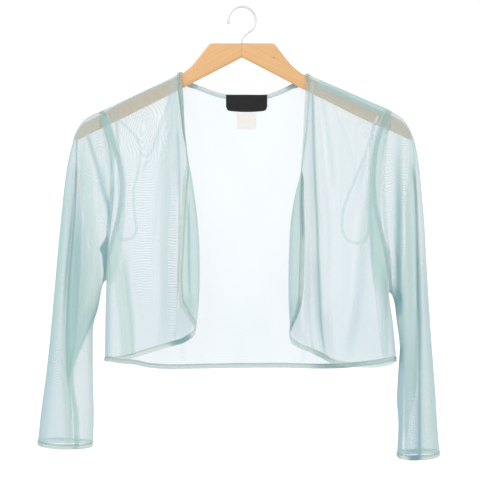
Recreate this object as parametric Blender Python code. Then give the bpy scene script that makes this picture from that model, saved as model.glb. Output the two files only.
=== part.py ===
# Sheer bolero jacket with three-quarter sleeves, hanging on a plain wooden hanger.
# Sizes are in millimetres and turned into metres where a mesh is made.
# +X is the viewer's right as the front is faced, -Y is the front, +Z is up.
# The origin is the inside top of the hook, where it rests on a rail.
# "right" and "left" name the wearer's sides, so the right front lies at -X.
# Both halves use the same functions, with "out" as the distance from the middle.

import math

import bmesh
import bpy
import numpy as np

MM = 0.001

# Cloth, in millimetres
CLOTH = 1.0
BINDING = 1.8
RIBBON = 1.0
LABEL = 0.8
SEAM = 0.35
HALF_SEAM = 0.2
BINDING_WIDTH = 6.5
CUFF_HEIGHT = 6.5
TAPE_WIDTH = 11.0
LOOP_WIDTH = 4.0

# How the cloth bends over the hanger and hangs below it
RIDGE_RADIUS = 8.8
ARC = RIDGE_RADIUS * math.pi / 2
ARC_SAVES = ARC - RIDGE_RADIUS
LAPEL_RADIUS = 6.0
FLARE = 11.0
FLARE_TOP = -150.0
FLARE_END = -460.0
SIDE_ROUND = 14.0
SIDE_ROUND_TOP = -170.0
SIDE_ROUND_FULL = -300.0
FOLD_FADE = 35.0

# Hanger
HANGER_HALF_THICK = 6.0
HANGER_CORNER = 5.0
HOOK_WIRE = 3.5
HOOK_INSIDE = 16.0
HOOK_SEAT = 10.0
HOOK_CLEARANCE = 0.3
CREST = -45.8

RIDGE = {
    "right": {
        "out": [70.0, 78.0, 91.0, 106.6, 119.6, 144.3, 171.6, 180.7, 190.5],
        "height": [-83.3, -83.3, -90.2, -98.0, -103.9, -115.6, -128.5, -132.6, -137.3],
    },
    "left": {
        "out": [70.0, 82.6, 96.2, 115.0, 133.9, 166.4, 189.8, 199.5],
        "height": [-85.5, -85.5, -90.9, -99.0, -107.1, -121.4, -131.4, -137.5],
    },
}
SHOULDER_OUT = {"right": 180.7, "left": 189.8}

# Where each front rolls outward like a soft lapel, and how far it turns there
LAPEL = {
    "right": {
        "height": [-83, -104, -126, -160, -178, -191, -204, -221, -247, -282,
                   -322, -356, -381, -394, -406, -420, -434],
        "out": [84.5, 85.0, 84.6, 82.0, 78.8, 76.8, 74.2, 70.8, 66.8, 62.8,
                60.6, 60.4, 61.6, 62.6, 64.1, 66.5, 68.0],
        "turn": [0, 5, 35, 68, 86, 105, 125, 146, 167, 172,
                 173, 173, 170, 160, 140, 100, 60],
    },
    "left": {
        "height": [-86, -108, -128, -159, -185, -210, -224, -238, -259, -283,
                   -316, -356, -373, -391, -404, -416, -434],
        "out": [91.3, 91.0, 90.5, 89.7, 86.8, 82.9, 79.5, 75.8, 71.6, 68.4,
                66.7, 65.8, 65.9, 66.5, 67.2, 67.5, 68.5],
        "turn": [0, 4, 18, 45, 70, 90, 125, 150, 165, 170,
                 172, 172, 170, 160, 140, 110, 60],
    },
}

# Free edge of each front in the flat cut: neck, front edge, rounded corner, hem
FRONT_EDGE = {
    "right": [(78.0, None), (77.0, -104), (74.0, -126), (68.5, -160), (64.0, -178),
              (60.3, -191), (55.3, -204), (46.5, -221), (36.5, -247), (26.8, -282),
              (20.5, -322), (18.9, -356), (23.4, -381), (31.1, -394), (41.4, -406),
              (54.5, -419.5), (65.6, -428.5), (75.0, -434.2), (91.5, -439.3),
              (108.2, -444.2), (124.8, -449.2), (141.3, -454.2), (158.0, -458.0),
              (178.5, -459.2)],
    "left": [(82.6, None), (82.0, -108), (80.5, -128), (76.8, -159), (70.9, -185),
             (63.9, -210), (57.8, -224), (51.8, -238), (43.8, -259), (36.8, -283),
             (33.9, -316), (33.2, -356), (34.4, -373), (38.3, -391), (44.0, -404),
             (50.0, -416), (56.6, -427), (64.1, -435.5), (72.5, -440.8),
             (89.0, -447.5), (105.7, -455.8), (113.9, -460.7), (130.5, -464.9),
             (155.4, -466.6), (172.0, -466.6), (188.5, -464.1), (201.0, -459.5)],
}
FRONT_CORNER = {"right": 15, "left": 15}

ARMHOLE = {
    "right": {
        "front": [(180.7, None), (169.0, -156), (162.2, -179.4), (156.3, -197.2),
                  (151.7, -227.1), (153.9, -253.9), (159.3, -277.8), (165.1, -298.7),
                  (172.0, -330), (176.2, -353.6)],
        "back": [(180.7, None), (176.8, -152), (172.6, -179.4), (169.0, -202.8),
                 (165.9, -224), (167.0, -249.6), (170.3, -282), (172.9, -314.6),
                 (175.0, -335), (176.2, -353.6)],
    },
    "left": {
        "front": [(189.8, None), (178.4, -152.5), (170.8, -179.3), (167.8, -203.2),
                  (167.2, -224.1), (169.4, -253.9), (175.4, -279.4), (181.4, -306.2),
                  (187.0, -338), (191.1, -369.2)],
        "back": [(189.8, None), (185.9, -152.1), (182.7, -179.4), (180.7, -204.1),
                 (180.7, -230.1), (182.7, -262.6), (185.9, -301.6), (188.4, -330),
                 (190.0, -350), (191.1, -369.2)],
    },
}
SIDE_SEAM = {
    "right": {"height": [-120, -353.6, -366.6, -392.6, -425.1, -459.2],
              "out": [176.2, 176.2, 176.8, 177.5, 178.1, 178.5]},
    "left": {"height": [-120, -369.2, -379.6, -405.6, -434.2, -459.5],
             "out": [191.1, 191.1, 191.9, 195.7, 198.6, 201.0]},
}
BACK_NECK = [(-78.0, None), (-74.5, -91), (-68.0, -96), (-60.0, -98.5),
             (-43.8, -104.5), (-24.0, -110.6), (6.0, -111.6), (32.0, -111.2),
             (55.6, -102.6), (64.4, -98.3), (73.0, -96), (79.0, -91.5), (82.6, None)]
BACK_HEM = [(-178.5, -459.2), (-160.0, -463.0), (-141.3, -464.5), (-124.8, -468.2),
            (-100.0, -470.4), (-60.0, -470.0), (0.0, -468.9), (60.0, -468.9),
            (100.0, -469.9), (130.5, -469.3), (155.0, -466.9), (180.0, -463.8),
            (201.0, -459.5)]

# Sleeve stations from the armhole to the cuff: overarm point and underarm point
SLEEVE = {
    "right": {
        "over_out": [180.7, 190.5, 200.0, 207.5, 213.3, 217.4, 220.4, 224.9,
                     229.5, 233.9, 238.8, 243.8, 249.0, 255.0, 261.0, 265.5],
        "over_height": [-132.6, -137.3, -142.3, -148.6, -157.0, -166.0, -177.0, -194.2,
                        -222.0, -261.3, -311.0, -368.0, -425.0, -480.0, -524.0, -567.0],
        "under_out": [178.4, 179.8, 180.8, 181.6, 182.2, 182.7, 183.2, 183.9,
                      185.2, 187.8, 191.8, 194.2, 194.2, 193.4, 192.6, 194.2],
        "under_height": [-353.6, -354.6, -356.2, -358.4, -361.2, -364.4, -368.0, -373.0,
                         -381.0, -393.0, -406.0, -424.0, -457.0, -495.0, -530.0, -569.0],
    },
    "left": {
        "over_out": [189.8, 199.5, 208.0, 214.5, 219.5, 223.2, 226.2, 229.8,
                     233.0, 236.6, 239.6, 243.0, 247.0, 251.2, 253.8, 257.0],
        "over_height": [-131.4, -137.5, -143.5, -151.5, -160.8, -171.0, -182.5, -203.0,
                        -235.0, -277.0, -330.0, -388.0, -445.0, -500.0, -543.0, -581.0],
        "under_out": [193.4, 194.8, 195.8, 196.6, 197.2, 197.8, 198.4, 199.2,
                      200.2, 201.6, 203.8, 205.2, 203.2, 201.5, 203.4, 201.5],
        "under_height": [-369.2, -370.2, -371.8, -374.0, -376.8, -380.0, -383.6, -389.0,
                         -398.0, -410.0, -425.0, -443.0, -473.0, -509.0, -542.0, -583.0],
    },
}
SLEEVE_DEPTH = {
    "station": [0, 3, 6, 9, 12, 15],
    "half": [10.0, 11.5, 13.5, 16.0, 18.0, 19.0],
    "square": [3.6, 3.6, 3.2, 2.6, 2.3, 2.2],
}
STATION_LENGTH = 40.0
TAPE_GAP = 0.6
TAPE_START = 2.0
ARMHOLE_FADE = 7.0
CUFF_DROOP = 4.5

# Folds: a line down the cloth, how deep it goes in (or out, when negative), and its width
FOLDS = {
    ("front", "right"): [
        {"height": [-95, -150, -247, -330, -430], "out": [88, 98, 102, 101, 99],
         "depth": -3.6, "width": 9.0},
        {"height": [-100, -140, -180, -215], "out": [92, 104, 114, 119],
         "depth": 2.0, "width": 9.0},
        {"height": [-300, -350, -400, -455], "out": [160, 153, 149, 146],
         "depth": -4.2, "width": 9.0},
        {"height": [-230, -300, -380, -440], "out": [128, 126, 122, 118],
         "depth": 2.4, "width": 9.0},
    ],
    ("front", "left"): [
        {"height": [-104, -160, -250, -340, -400, -450], "out": [91, 93, 96, 100, 104, 110],
         "depth": 4.0, "width": 8.0},
        {"height": [-120, -180, -250, -350], "out": [103, 106, 110, 116],
         "depth": -3.0, "width": 8.0},
        {"height": [-225, -300, -380, -455], "out": [166, 160, 148, 140],
         "depth": 3.2, "width": 9.0},
        {"height": [-330, -390, -450], "out": [176, 178, 180],
         "depth": -3.0, "width": 8.0},
    ],
    ("back", "right"): [
        {"height": [-150, -230, -330, -450], "out": [120, 116, 112, 108],
         "depth": -3.0, "width": 11.0},
        {"height": [-220, -300, -380, -455], "out": [148, 146, 142, 140],
         "depth": 3.0, "width": 9.0},
        {"height": [-170, -260, -360, -460], "out": [60, 58, 55, 52],
         "depth": -2.2, "width": 14.0},
    ],
    ("back", "left"): [
        {"height": [-150, -240, -340, -455], "out": [126, 122, 120, 118],
         "depth": -3.2, "width": 10.0},
        {"height": [-230, -310, -390, -455], "out": [158, 155, 152, 150],
         "depth": 3.0, "width": 9.0},
        {"height": [-180, -270, -370, -460], "out": [48, 46, 44, 40],
         "depth": -2.0, "width": 14.0},
    ],
    ("sleeve front", "right"): [
        {"height": [-186, -224, -284, -343, -413, -473, -515, -533, -575],
         "out": [215, 215, 219.7, 224.9, 228.2, 227.1, 221.9, 219.2, 218.4],
         "depth": 6.0, "width": 6.5},
        {"height": [-178, -206, -240, -272], "out": [200, 190, 182, 175],
         "depth": 3.0, "width": 10.0},
    ],
    ("sleeve front", "left"): [
        {"height": [-186, -224, -254, -314, -413, -495, -581],
         "out": [221, 223.9, 226.1, 228.3, 229.5, 230.1, 230.1],
         "depth": 6.0, "width": 6.5},
        {"height": [-178, -224, -284, -343, -385], "out": [209, 205.5, 204.5, 203.5, 204],
         "depth": 3.4, "width": 10.0},
    ],
    ("sleeve back", "right"): [
        {"height": [-190, -260, -340, -430, -560], "out": [209, 212, 216, 220, 224],
         "depth": 4.6, "width": 7.5},
        {"height": [-230, -300, -350], "out": [192, 200, 206],
         "depth": -2.6, "width": 10.0},
    ],
    ("sleeve back", "left"): [
        {"height": [-195, -270, -350, -450, -570], "out": [214, 216, 220, 224, 226],
         "depth": 4.6, "width": 7.5},
        {"height": [-240, -310, -370], "out": [200, 207, 212],
         "depth": -2.6, "width": 10.0},
    ],
}

LOOP_PATH = {
    "right": {
        "out": [166, 157, 147, 137, 132.5, 132, 136, 140, 141, 139, 137, 141,
                151, 159.5, 161, 159.5, 160, 161, 164],
        "height": [-139.5, -148.5, -157.5, -168, -180, -193, -218, -233, -250, -272, -288, -297,
                   -301.5, -298, -280, -255, -215, -180, -146],
        "depth": [-6.75, -6.75, -6.75, -6.6, -6.4, -6.0, -5.4, -5.0, -5.0, -5.0, -5.0, -5.0,
                  -4.6, -2.0, 0.0, 1.0, 3.0, 5.0, 6.75],
    },
    "left": {
        "out": [176, 174.5, 171, 165.5, 158.8, 149, 140.7, 133.9, 130, 130, 135.6, 147.3,
                157, 163, 165.5, 166, 166, 168, 173],
        "height": [-140, -145, -152.5, -173.7, -193.7, -216.8, -236.6, -254.8, -274.8, -288,
                   -299.8, -305.5, -304, -296, -280, -255, -215, -180, -147],
        "depth": [-6.75, -6.75, -6.75, -6.6, -6.4, -6.0, -5.4, -5.0, -5.0, -5.0, -5.0, -5.0,
                  -4.6, -2.0, 0.0, 1.0, 3.0, 5.0, 6.75],
    },
}

LABELS = {
    "brand_label": {"across": (-20.8, 32.9), "height": (-134.8, -112.4), "lift": 1.7,
                    "thick": LABEL, "round": 5.0, "sag": 2.0},
    "care_label": {"across": (-7.0, 18.2), "height": (-157.0, -136.6), "lift": 1.25,
                   "thick": 0.6, "round": 1.5, "sag": 0.5},
}

# Upper and lower edge of each arm, alike up to the shoulders
ARM_TOP_OUT = [0.0, 38.0, 41.5, 43.2, 46.5, 51.0, 56.6, 65.3, 72.0, 78.3, 91.0, 106.6,
               119.6, 144.3]
ARM_TOP_HEIGHT = [-45.8, -45.8, -46.3, -47.9, -51.8, -57.6, -64.8, -75.2, -81.0, -85.4, -92.2,
                  -99.8, -105.0, -116.8]
HANGER_TOP = {
    "right": {
        "out": ARM_TOP_OUT + [160.0, 170.0, 180.0, 190.5, 200.0, 207.0, 212.0, 215.3, 216.6],
        "height": ARM_TOP_HEIGHT + [-124.9, -130.6, -136.4, -142.0, -146.6, -151.4, -157.8,
                                    -164.0, -168.6],
    },
    "left": {
        "out": ARM_TOP_OUT + [160.0, 172.0, 180.0, 190.5, 200.0, 207.0, 213.0, 217.0, 219.5,
                              220.8],
        "height": ARM_TOP_HEIGHT + [-124.0, -129.4, -133.0, -137.8, -142.6, -147.0, -152.8,
                                    -159.2, -164.8, -168.8],
    },
}
HANGER_UNDER = {
    "right": {"out": [0.0, 76.2, 143.8, 196.8, 212.0, 216.6],
              "height": [-64.6, -103.9, -137.8, -163.2, -170.6, -172.4]},
    "left": {"out": [0.0, 76.2, 143.8, 169.0, 192.4, 212.0, 220.8],
             "height": [-64.6, -103.9, -137.8, -149.6, -158.8, -168.6, -171.6]},
}

COLOURS = {
    "cloth": (0.66, 0.80, 0.80, 0.75, 0.0),
    "binding": (0.58, 0.72, 0.69, 0.7, 0.0),
    "ribbon": (0.86, 0.90, 0.89, 0.4, 0.0),
    "black": (0.02, 0.02, 0.022, 0.6, 0.0),
    "white": (0.86, 0.85, 0.80, 0.6, 0.0),
    "wood": (0.80, 0.53, 0.29, 0.5, 0.0),
    "steel": (0.70, 0.71, 0.73, 0.25, 1.0),
}


def clear_scene():
    for old in list(bpy.data.objects):
        bpy.data.objects.remove(old, do_unlink=True)


def material(name):
    red, green, blue, roughness, metallic = COLOURS[name]
    made = bpy.data.materials.get(name) or bpy.data.materials.new(name)
    made.use_nodes = True
    shader = made.node_tree.nodes["Principled BSDF"]
    shader.inputs["Base Color"].default_value = (red, green, blue, 1.0)
    shader.inputs["Roughness"].default_value = roughness
    shader.inputs["Metallic"].default_value = metallic
    return made


# Curves through tables

def smooth_step(value):
    held = np.clip(value, 0.0, 1.0)
    return held * held * (3.0 - 2.0 * held)


def through(keys, values, at):
    """A smooth curve through the table, with no overshoot at a turning point."""
    x = np.asarray(keys, float)
    y = np.asarray(values, float)
    if x[0] > x[-1]:
        x, y = x[::-1], y[::-1]
    step = np.diff(x)
    slope = np.diff(y) / step
    tangent = np.empty_like(y)
    tangent[0], tangent[-1] = slope[0], slope[-1]
    before, after = slope[:-1], slope[1:]
    mean = np.where(before * after > 0, 2 * before * after / (before + after + 1e-12), 0.0)
    tangent[1:-1] = mean
    held = np.clip(np.asarray(at, float), x[0], x[-1])
    i = np.clip(np.searchsorted(x, held, side="right") - 1, 0, len(step) - 1)
    h = step[i]
    t = (held - x[i]) / h
    return (
        y[i] * (1 + 2 * t) * (1 - t) ** 2
        + tangent[i] * h * t * (1 - t) ** 2
        + y[i + 1] * t * t * (3 - 2 * t)
        + tangent[i + 1] * h * t * t * (t - 1)
    )


def spline(points, per_span=12):
    """Points close together on a centripetal curve through the given ones."""
    p = np.asarray(points, float)
    ends = np.vstack([2 * p[0] - p[1], p, 2 * p[-1] - p[-2]])
    found = []
    for a, b, c, d in zip(ends[:-3], ends[1:-2], ends[2:-1], ends[3:]):
        k0 = 0.0
        k1 = k0 + np.linalg.norm(b - a) ** 0.5
        k2 = k1 + np.linalg.norm(c - b) ** 0.5
        k3 = k2 + np.linalg.norm(d - c) ** 0.5
        for k in np.linspace(k1, k2, per_span, endpoint=False):
            ab = a + (b - a) * (k - k0) / (k1 - k0)
            bc = b + (c - b) * (k - k1) / (k2 - k1)
            cd = c + (d - c) * (k - k2) / (k3 - k2)
            abc = ab + (bc - ab) * (k - k0) / (k2 - k0)
            bcd = bc + (cd - bc) * (k - k1) / (k3 - k1)
            found.append(abc + (bcd - abc) * (k - k1) / (k2 - k1))
    found.append(p[-1])
    return np.array(found)


def spaced(line, shares):
    """Points of a line at the given shares of its length."""
    run = np.concatenate([[0.0], np.cumsum(np.linalg.norm(np.diff(line, axis=0), axis=1))])
    at = np.asarray(shares) * run[-1]
    return np.stack([np.interp(at, run, line[:, k]) for k in range(line.shape[1])], axis=1)


def inward(line, by, side=1.0):
    """The line moved sideways by a distance, to its left for side 1."""
    ahead = np.gradient(line, axis=0)
    ahead /= np.linalg.norm(ahead, axis=1)[:, None]
    return line + side * by * np.stack([-ahead[:, 1], ahead[:, 0]], axis=1)


# The cloth's surface: from the flat cut's (out, height) to a place in the air

def ridge(side, out):
    return through(RIDGE[side]["out"], RIDGE[side]["height"], out)


def ridge_cut(side, out):
    """Height in the flat cut of the shoulder seam, which lies on the ridge."""
    return ridge(side, out) + ARC_SAVES


def folds(where, side, out, height):
    moved = np.zeros(np.broadcast(out, height).shape)
    for fold in FOLDS[(where, side)]:
        line = through(fold["height"], fold["out"], height)
        top, end = max(fold["height"]), min(fold["height"])
        fade = smooth_step((top - height) / FOLD_FADE) * smooth_step((height - end) / FOLD_FADE + 0.6)
        moved = moved + fold["depth"] * fade * np.exp(-(((out - line) / fold["width"]) ** 2))
    return moved


def cloth_depth(where, side, out, height):
    """How far the hanging cloth lies from the middle plane, below the ridge's arc."""
    flare = FLARE * smooth_step((FLARE_TOP - height) / (FLARE_TOP - FLARE_END))
    depth = RIDGE_RADIUS + flare - folds(where, side, out, height)
    seam = through(SIDE_SEAM[side]["height"], SIDE_SEAM[side]["out"], height)
    near = 1.0 - np.clip((seam - out) / SIDE_ROUND, 0.0, 1.0)
    rounded = np.sqrt(np.clip(1.0 - near * near, 0.0, 1.0))
    share = smooth_step((SIDE_ROUND_TOP - height) / (SIDE_ROUND_TOP - SIDE_ROUND_FULL))
    return depth * (1.0 - share + share * rounded)


def hang(where, side, out, height, fold_out=None):
    """(distance from the middle plane, height in the air) of the cloth."""
    down = ridge_cut(side, out) - height
    angle = np.clip(down / RIDGE_RADIUS, 0.0, math.pi / 2)
    real = np.where(down < ARC, ridge(side, out) - RIDGE_RADIUS * (1 - np.cos(angle)), height)
    full = cloth_depth(where, side, out if fold_out is None else fold_out, height)
    return HALF_SEAM + full * np.sin(angle), real


def front_surface(side, out, height):
    """A front of the jacket, with its edge rolled outward below the neck."""
    out, height = np.broadcast_arrays(np.asarray(out, float), np.asarray(height, float))
    start = through(LAPEL[side]["height"], LAPEL[side]["out"], height)
    turn = np.radians(through(LAPEL[side]["height"], LAPEL[side]["turn"], height))
    past = np.maximum(start - out, 0.0)
    bent = np.minimum(past / LAPEL_RADIUS, turn)
    straight = past - LAPEL_RADIUS * bent
    flat_out = np.maximum(out, start)
    depth, real = hang("front", side, out, height, flat_out)
    reach = flat_out - LAPEL_RADIUS * np.sin(bent) - straight * np.cos(turn)
    forward = LAPEL_RADIUS * (1 - np.cos(bent)) + straight * np.sin(turn)
    return place(side, reach, -(depth + forward), real)


def back_surface(across, height):
    """The back of the jacket. Its cut is given across, negative on the right side."""
    across, height = np.broadcast_arrays(np.asarray(across, float), np.asarray(height, float))
    depth = np.empty(across.shape)
    real = np.empty(across.shape)
    for side, mask in (("right", across < 0), ("left", across >= 0)):
        found, heights = hang("back", side, np.abs(across), height)
        depth[mask], real[mask] = found[mask], heights[mask]
    return np.stack([across, depth, real], axis=-1)


def place(side, out, y, height):
    sign = -1.0 if side == "right" else 1.0
    return np.stack([sign * out, y, height], axis=-1)


def with_ridge(points, side_of):
    """Fills in the height of a point that lies on the ridge."""
    return [
        (out, ridge_cut(side_of(out), abs(out)) if height is None else height)
        for out, height in points
    ]


def armhole(which, side):
    return spline(with_ridge(ARMHOLE[side][which], lambda out: side))


# Meshes

def coons(top, bottom, left, right):
    """A grid between four edges that meet at their ends, rows from top to bottom."""
    rows, columns = len(left), len(top)
    v = np.linspace(0, 1, rows)[:, None, None]
    u = np.linspace(0, 1, columns)[None, :, None]
    across = (1 - v) * top[None] + v * bottom[None]
    along = (1 - u) * left[:, None] + u * right[:, None]
    corners = (
        (1 - u) * (1 - v) * top[0]
        + u * (1 - v) * top[-1]
        + (1 - u) * v * bottom[0]
        + u * v * bottom[-1]
    )
    return across + along - corners


def grid_normals(grid, ring=False):
    """Unit normals of a grid of points, column direction crossed with row direction."""
    if ring:
        wide = np.roll(grid, -1, axis=1) - np.roll(grid, 1, axis=1)
    else:
        wide = np.gradient(grid, axis=1)
    tall = np.gradient(grid, axis=0)
    normal = np.cross(wide, tall)
    return normal / np.maximum(np.linalg.norm(normal, axis=2), 1e-9)[:, :, None]


def cut_normals(surface, cut):
    """Unit normals of a hung surface at points of its flat cut."""
    step = 0.05
    out, height = cut[..., 0], cut[..., 1]
    wide = surface(out + step, height) - surface(out - step, height)
    tall = surface(out, height + step) - surface(out, height - step)
    normal = np.cross(wide, tall)
    points = surface(out, height)
    normal[np.abs(points[..., 1]) < HALF_SEAM + 0.01, 1] = 0.0
    return points, normal / np.maximum(np.linalg.norm(normal, axis=-1), 1e-9)[..., None]


def cut_wall(name, surface, cut, thick, look, shift=0.0):
    """A wall hung from its flat cut."""
    points, normal = cut_normals(surface, cut)
    wall(name, points, thick, look, shift=shift, normal=normal)


def wall(name, grid, thick, look, ring=False, shift=0.0, normal=None):
    """A closed wall of even thickness through a grid of points.
    With ring the grid's columns close on themselves. Shift moves it along its normals."""
    if normal is None:
        normal = grid_normals(grid, ring)
    outer = grid + normal * (shift + thick / 2)
    inner = grid + normal * (shift - thick / 2)
    rows, columns = grid.shape[:2]
    mesh = bmesh.new()
    faces_of = []
    for layer in (outer, inner):
        faces_of.append([[mesh.verts.new(p * MM) for p in row] for row in layer])
    last = columns if ring else columns - 1
    for i in range(rows - 1):
        for j in range(last):
            k = (j + 1) % columns
            a, b = faces_of[0], faces_of[1]
            mesh.faces.new((a[i][j], a[i + 1][j], a[i + 1][k], a[i][k]))
            mesh.faces.new((b[i][j], b[i][k], b[i + 1][k], b[i + 1][j]))
    for j in range(last):
        k = (j + 1) % columns
        for i in (0, rows - 1):
            mesh.faces.new((faces_of[0][i][j], faces_of[0][i][k],
                            faces_of[1][i][k], faces_of[1][i][j]))
    if not ring:
        for i in range(rows - 1):
            for j in (0, columns - 1):
                mesh.faces.new((faces_of[0][i][j], faces_of[0][i + 1][j],
                                faces_of[1][i + 1][j], faces_of[1][i][j]))
    return finish(name, mesh, look)


def finish(name, mesh, look):
    bmesh.ops.recalc_face_normals(mesh, faces=mesh.faces)
    bmesh.ops.triangulate(mesh, faces=mesh.faces)
    data = bpy.data.meshes.new(name)
    mesh.to_mesh(data)
    mesh.free()
    data.materials.append(material(look))
    made = bpy.data.objects.new(name, data)
    bpy.context.scene.collection.objects.link(made)
    data.shade_smooth()
    data.set_sharp_from_angle(angle=math.radians(50))
    return made


# Body of the jacket

ROUND_SHARES = [0, 0.015, 0.03, 0.045, 0.06, 0.11, 0.19, 0.30, 0.43, 0.57, 0.70, 0.82,
                0.91, 0.965, 1.0]
ARMHOLE_STEPS = len(ROUND_SHARES) - 1
ARC_STEPS = 4
SIDE_STEPS = {"front": 9, "back": 7}
FRONT_SHARES = [0, 0.03, 0.075, 0.14, 0.22, 0.31, 0.40, 0.49, 0.57, 0.64, 0.70, 0.755,
                0.805, 0.85, 0.89, 0.93, 0.965, 1.0]
BACK_NECK_STEPS = 18
BACK_SHOULDER_STEPS = 6


def down_from_ridge(line, count, both=False):
    """Shares of a line's length: small steps over the ridge's arc, even ones past it."""
    length = np.linalg.norm(np.diff(line, axis=0), axis=1).sum()
    arc = np.linspace(0, ARC, ARC_STEPS + 1) / length
    if both:
        return np.concatenate([arc[:-1], np.linspace(arc[-1], 1 - arc[-1], count - 2 * ARC_STEPS),
                               1 - arc[::-1][1:]])
    return np.concatenate([arc[:-1], np.linspace(arc[-1], 1, count - ARC_STEPS)])


def picked(line, marks):
    """Points of a line at the given places in its list, with parts of a step."""
    at = np.arange(len(line))
    return np.stack([np.interp(marks, at, line[:, k]) for k in (0, 1)], axis=1)


def spaced_marks(line, shares):
    """The places in a line's list that lie at the given shares of its length."""
    run = np.concatenate([[0.0], np.cumsum(np.linalg.norm(np.diff(line, axis=0), axis=1))])
    return np.interp(np.asarray(shares) * run[-1], run, np.arange(len(line)))


def on_arc(side, points):
    """The first points of a line set at even steps over the ridge's arc."""
    steps = np.linspace(0, ARC, ARC_STEPS + 1)
    points[: ARC_STEPS + 1, 1] = ridge_cut(side, np.abs(points[: ARC_STEPS + 1, 0])) - steps
    return points


def front_marks(side):
    """Where the front's free edge is cut into rows, then into columns past its corner."""
    line = front_outline(side, 0.0)
    corner = FRONT_CORNER[side] * 12
    rows = ARMHOLE_STEPS + SIDE_STEPS["front"] + 1
    down = spaced_marks(line[: corner + 1], down_from_ridge(line[: corner + 1], rows))
    along = spaced_marks(line[corner:][::-1], FRONT_SHARES)
    return down, (len(line) - 1 - along)[::-1]


def front_outline(side, by):
    """The free edge moved in by a width, from the shoulder ridge to the side seam."""
    line = inward(spline(with_ridge(FRONT_EDGE[side], lambda out: side)), by, 1.0)
    line[-1, 0] = FRONT_EDGE[side][-1][0]
    return line


def outer_edge(which, side, foot):
    """The cut's armhole and side seam, in the steps that the sleeve's ring has too."""
    curve = spaced(armhole(which, side), ROUND_SHARES)
    heights = np.linspace(curve[-1, 1], foot[1], SIDE_STEPS[which] + 1)[1:]
    outs = through(SIDE_SEAM[side]["height"], SIDE_SEAM[side]["out"], heights)
    seam = np.stack([outs, heights], axis=1)
    seam[-1] = foot
    return np.vstack([curve, seam])


def make_front(side):
    down, along = front_marks(side)
    line = front_outline(side, BINDING_WIDTH + SEAM)
    edge, hem = on_arc(side, picked(line, down)), picked(line, along)
    outer = outer_edge("front", side, hem[-1])
    top_out = outer[0, 0] + (edge[0, 0] - outer[0, 0]) * np.array(FRONT_SHARES)
    top = np.stack([top_out, ridge_cut(side, top_out)], axis=1)
    grid = coons(top, hem[::-1], outer, edge)
    cut_wall(f"{side}_front", lambda out, high: front_surface(side, out, high), grid, CLOTH,
             "cloth")


def make_front_binding(side):
    down, along = front_marks(side)
    marks = np.concatenate([down, along[1:]])
    strip = [on_arc(side, picked(front_outline(side, by), marks))
             for by in (0.0, BINDING_WIDTH / 2, BINDING_WIDTH)]
    grid = np.stack(strip, axis=1)
    cut_wall(f"{side}_front_binding", lambda out, high: front_surface(side, out, high), grid,
             BINDING, "binding")


def neck_line(by):
    line = spline(with_ridge(BACK_NECK, lambda out: "right" if out < 0 else "left"))
    return inward(line, by, -1.0)


def neck_points(by):
    """The back neck line moved down by a width, cut at its marks."""
    points = on_arc("right", picked(neck_line(by), neck_marks()))
    return on_arc("left", points[::-1])[::-1]


def hem_line(by):
    line = inward(spline(BACK_HEM), by, 1.0)
    line[0, 0], line[-1, 0] = BACK_HEM[0][0], BACK_HEM[-1][0]
    return line


def neck_marks():
    line = neck_line(0.0)
    return spaced_marks(line, down_from_ridge(line, BACK_NECK_STEPS + 1, both=True))


def hem_marks():
    """The hem is cut at the shares of the width that the top edge's points have."""
    top = back_top()
    across = (top[:, 0] - top[0, 0]) / (top[-1, 0] - top[0, 0])
    even = np.linspace(0, 1, len(top))
    return spaced_marks(hem_line(0.0), 0.5 * across + 0.5 * even)


def back_top():
    """Shoulder, neck and shoulder, from right to left."""
    neck = neck_points(BINDING_WIDTH + SEAM)
    found = []
    for side, sign, meet in (("right", -1, neck[0]), ("left", 1, neck[-1])):
        outs = np.linspace(SHOULDER_OUT[side], abs(meet[0]), BACK_SHOULDER_STEPS + 1)
        found.append(np.stack([sign * outs, ridge_cut(side, outs)], axis=1))
    return np.vstack([found[0][:-1], neck, found[1][::-1][1:]])


def make_back():
    top = back_top()
    hem = picked(hem_line(BINDING_WIDTH + SEAM), hem_marks())
    sides = [outer_edge("back", side, np.abs(foot) * (1, -1)) * (sign, 1)
             for side, sign, foot in (("right", -1, hem[0]), ("left", 1, hem[-1]))]
    grid = coons(top, hem, *sides)
    cut_wall("back", back_surface, grid, CLOTH, "cloth")


def make_back_bindings():
    neck = [neck_points(by) for by in (0.0, BINDING_WIDTH)]
    hem = [picked(hem_line(by), hem_marks()) for by in (0.0, BINDING_WIDTH)]
    for name, rows in (("back_neck_binding", neck), ("back_hem_binding", hem)):
        grid = np.stack(rows, axis=1)
        cut_wall(name, back_surface, grid, BINDING, "binding")


# Sleeves

LAST_STATION = 15.0
RING = 2 * ARMHOLE_STEPS
SLEEVE_ROWS = [0, 0.6, 1.3, 2, 3, 4, 5, 6, 7, 8, 8.5, 9, 9.5, 10, 10.5, 11, 11.5, 12, 12.5,
               13, 13.5, 14, 14.4]
CREASE_COLUMN = {"sleeve front": 7, "sleeve back": 8}


def sleeve_edges(side, station):
    """Overarm and underarm points of a station, in the plane of the hanger."""
    table = SLEEVE[side]
    at = np.arange(len(table["over_out"]), dtype=float)
    return [np.stack([through(at, table[f"{edge}_{way}"], station) for way in ("out", "height")], -1)
            for edge in ("over", "under")]


def crease_share(side, where, fold, station):
    """How far round from overarm to underarm a fold's line crosses a station."""
    over, under = sleeve_edges(side, station)
    tries = np.linspace(0.02, 0.98, 97)
    flat = over[..., None, :] + (under - over)[..., None, :] * tries[:, None]
    miss = flat[..., 0] - through(fold["height"], fold["out"], flat[..., 1])
    first = np.argmax(miss < 0, axis=-1)
    first = np.where((miss < 0).any(axis=-1), first, len(tries) - 1)
    return tries[np.maximum(first, 1)]


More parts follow.
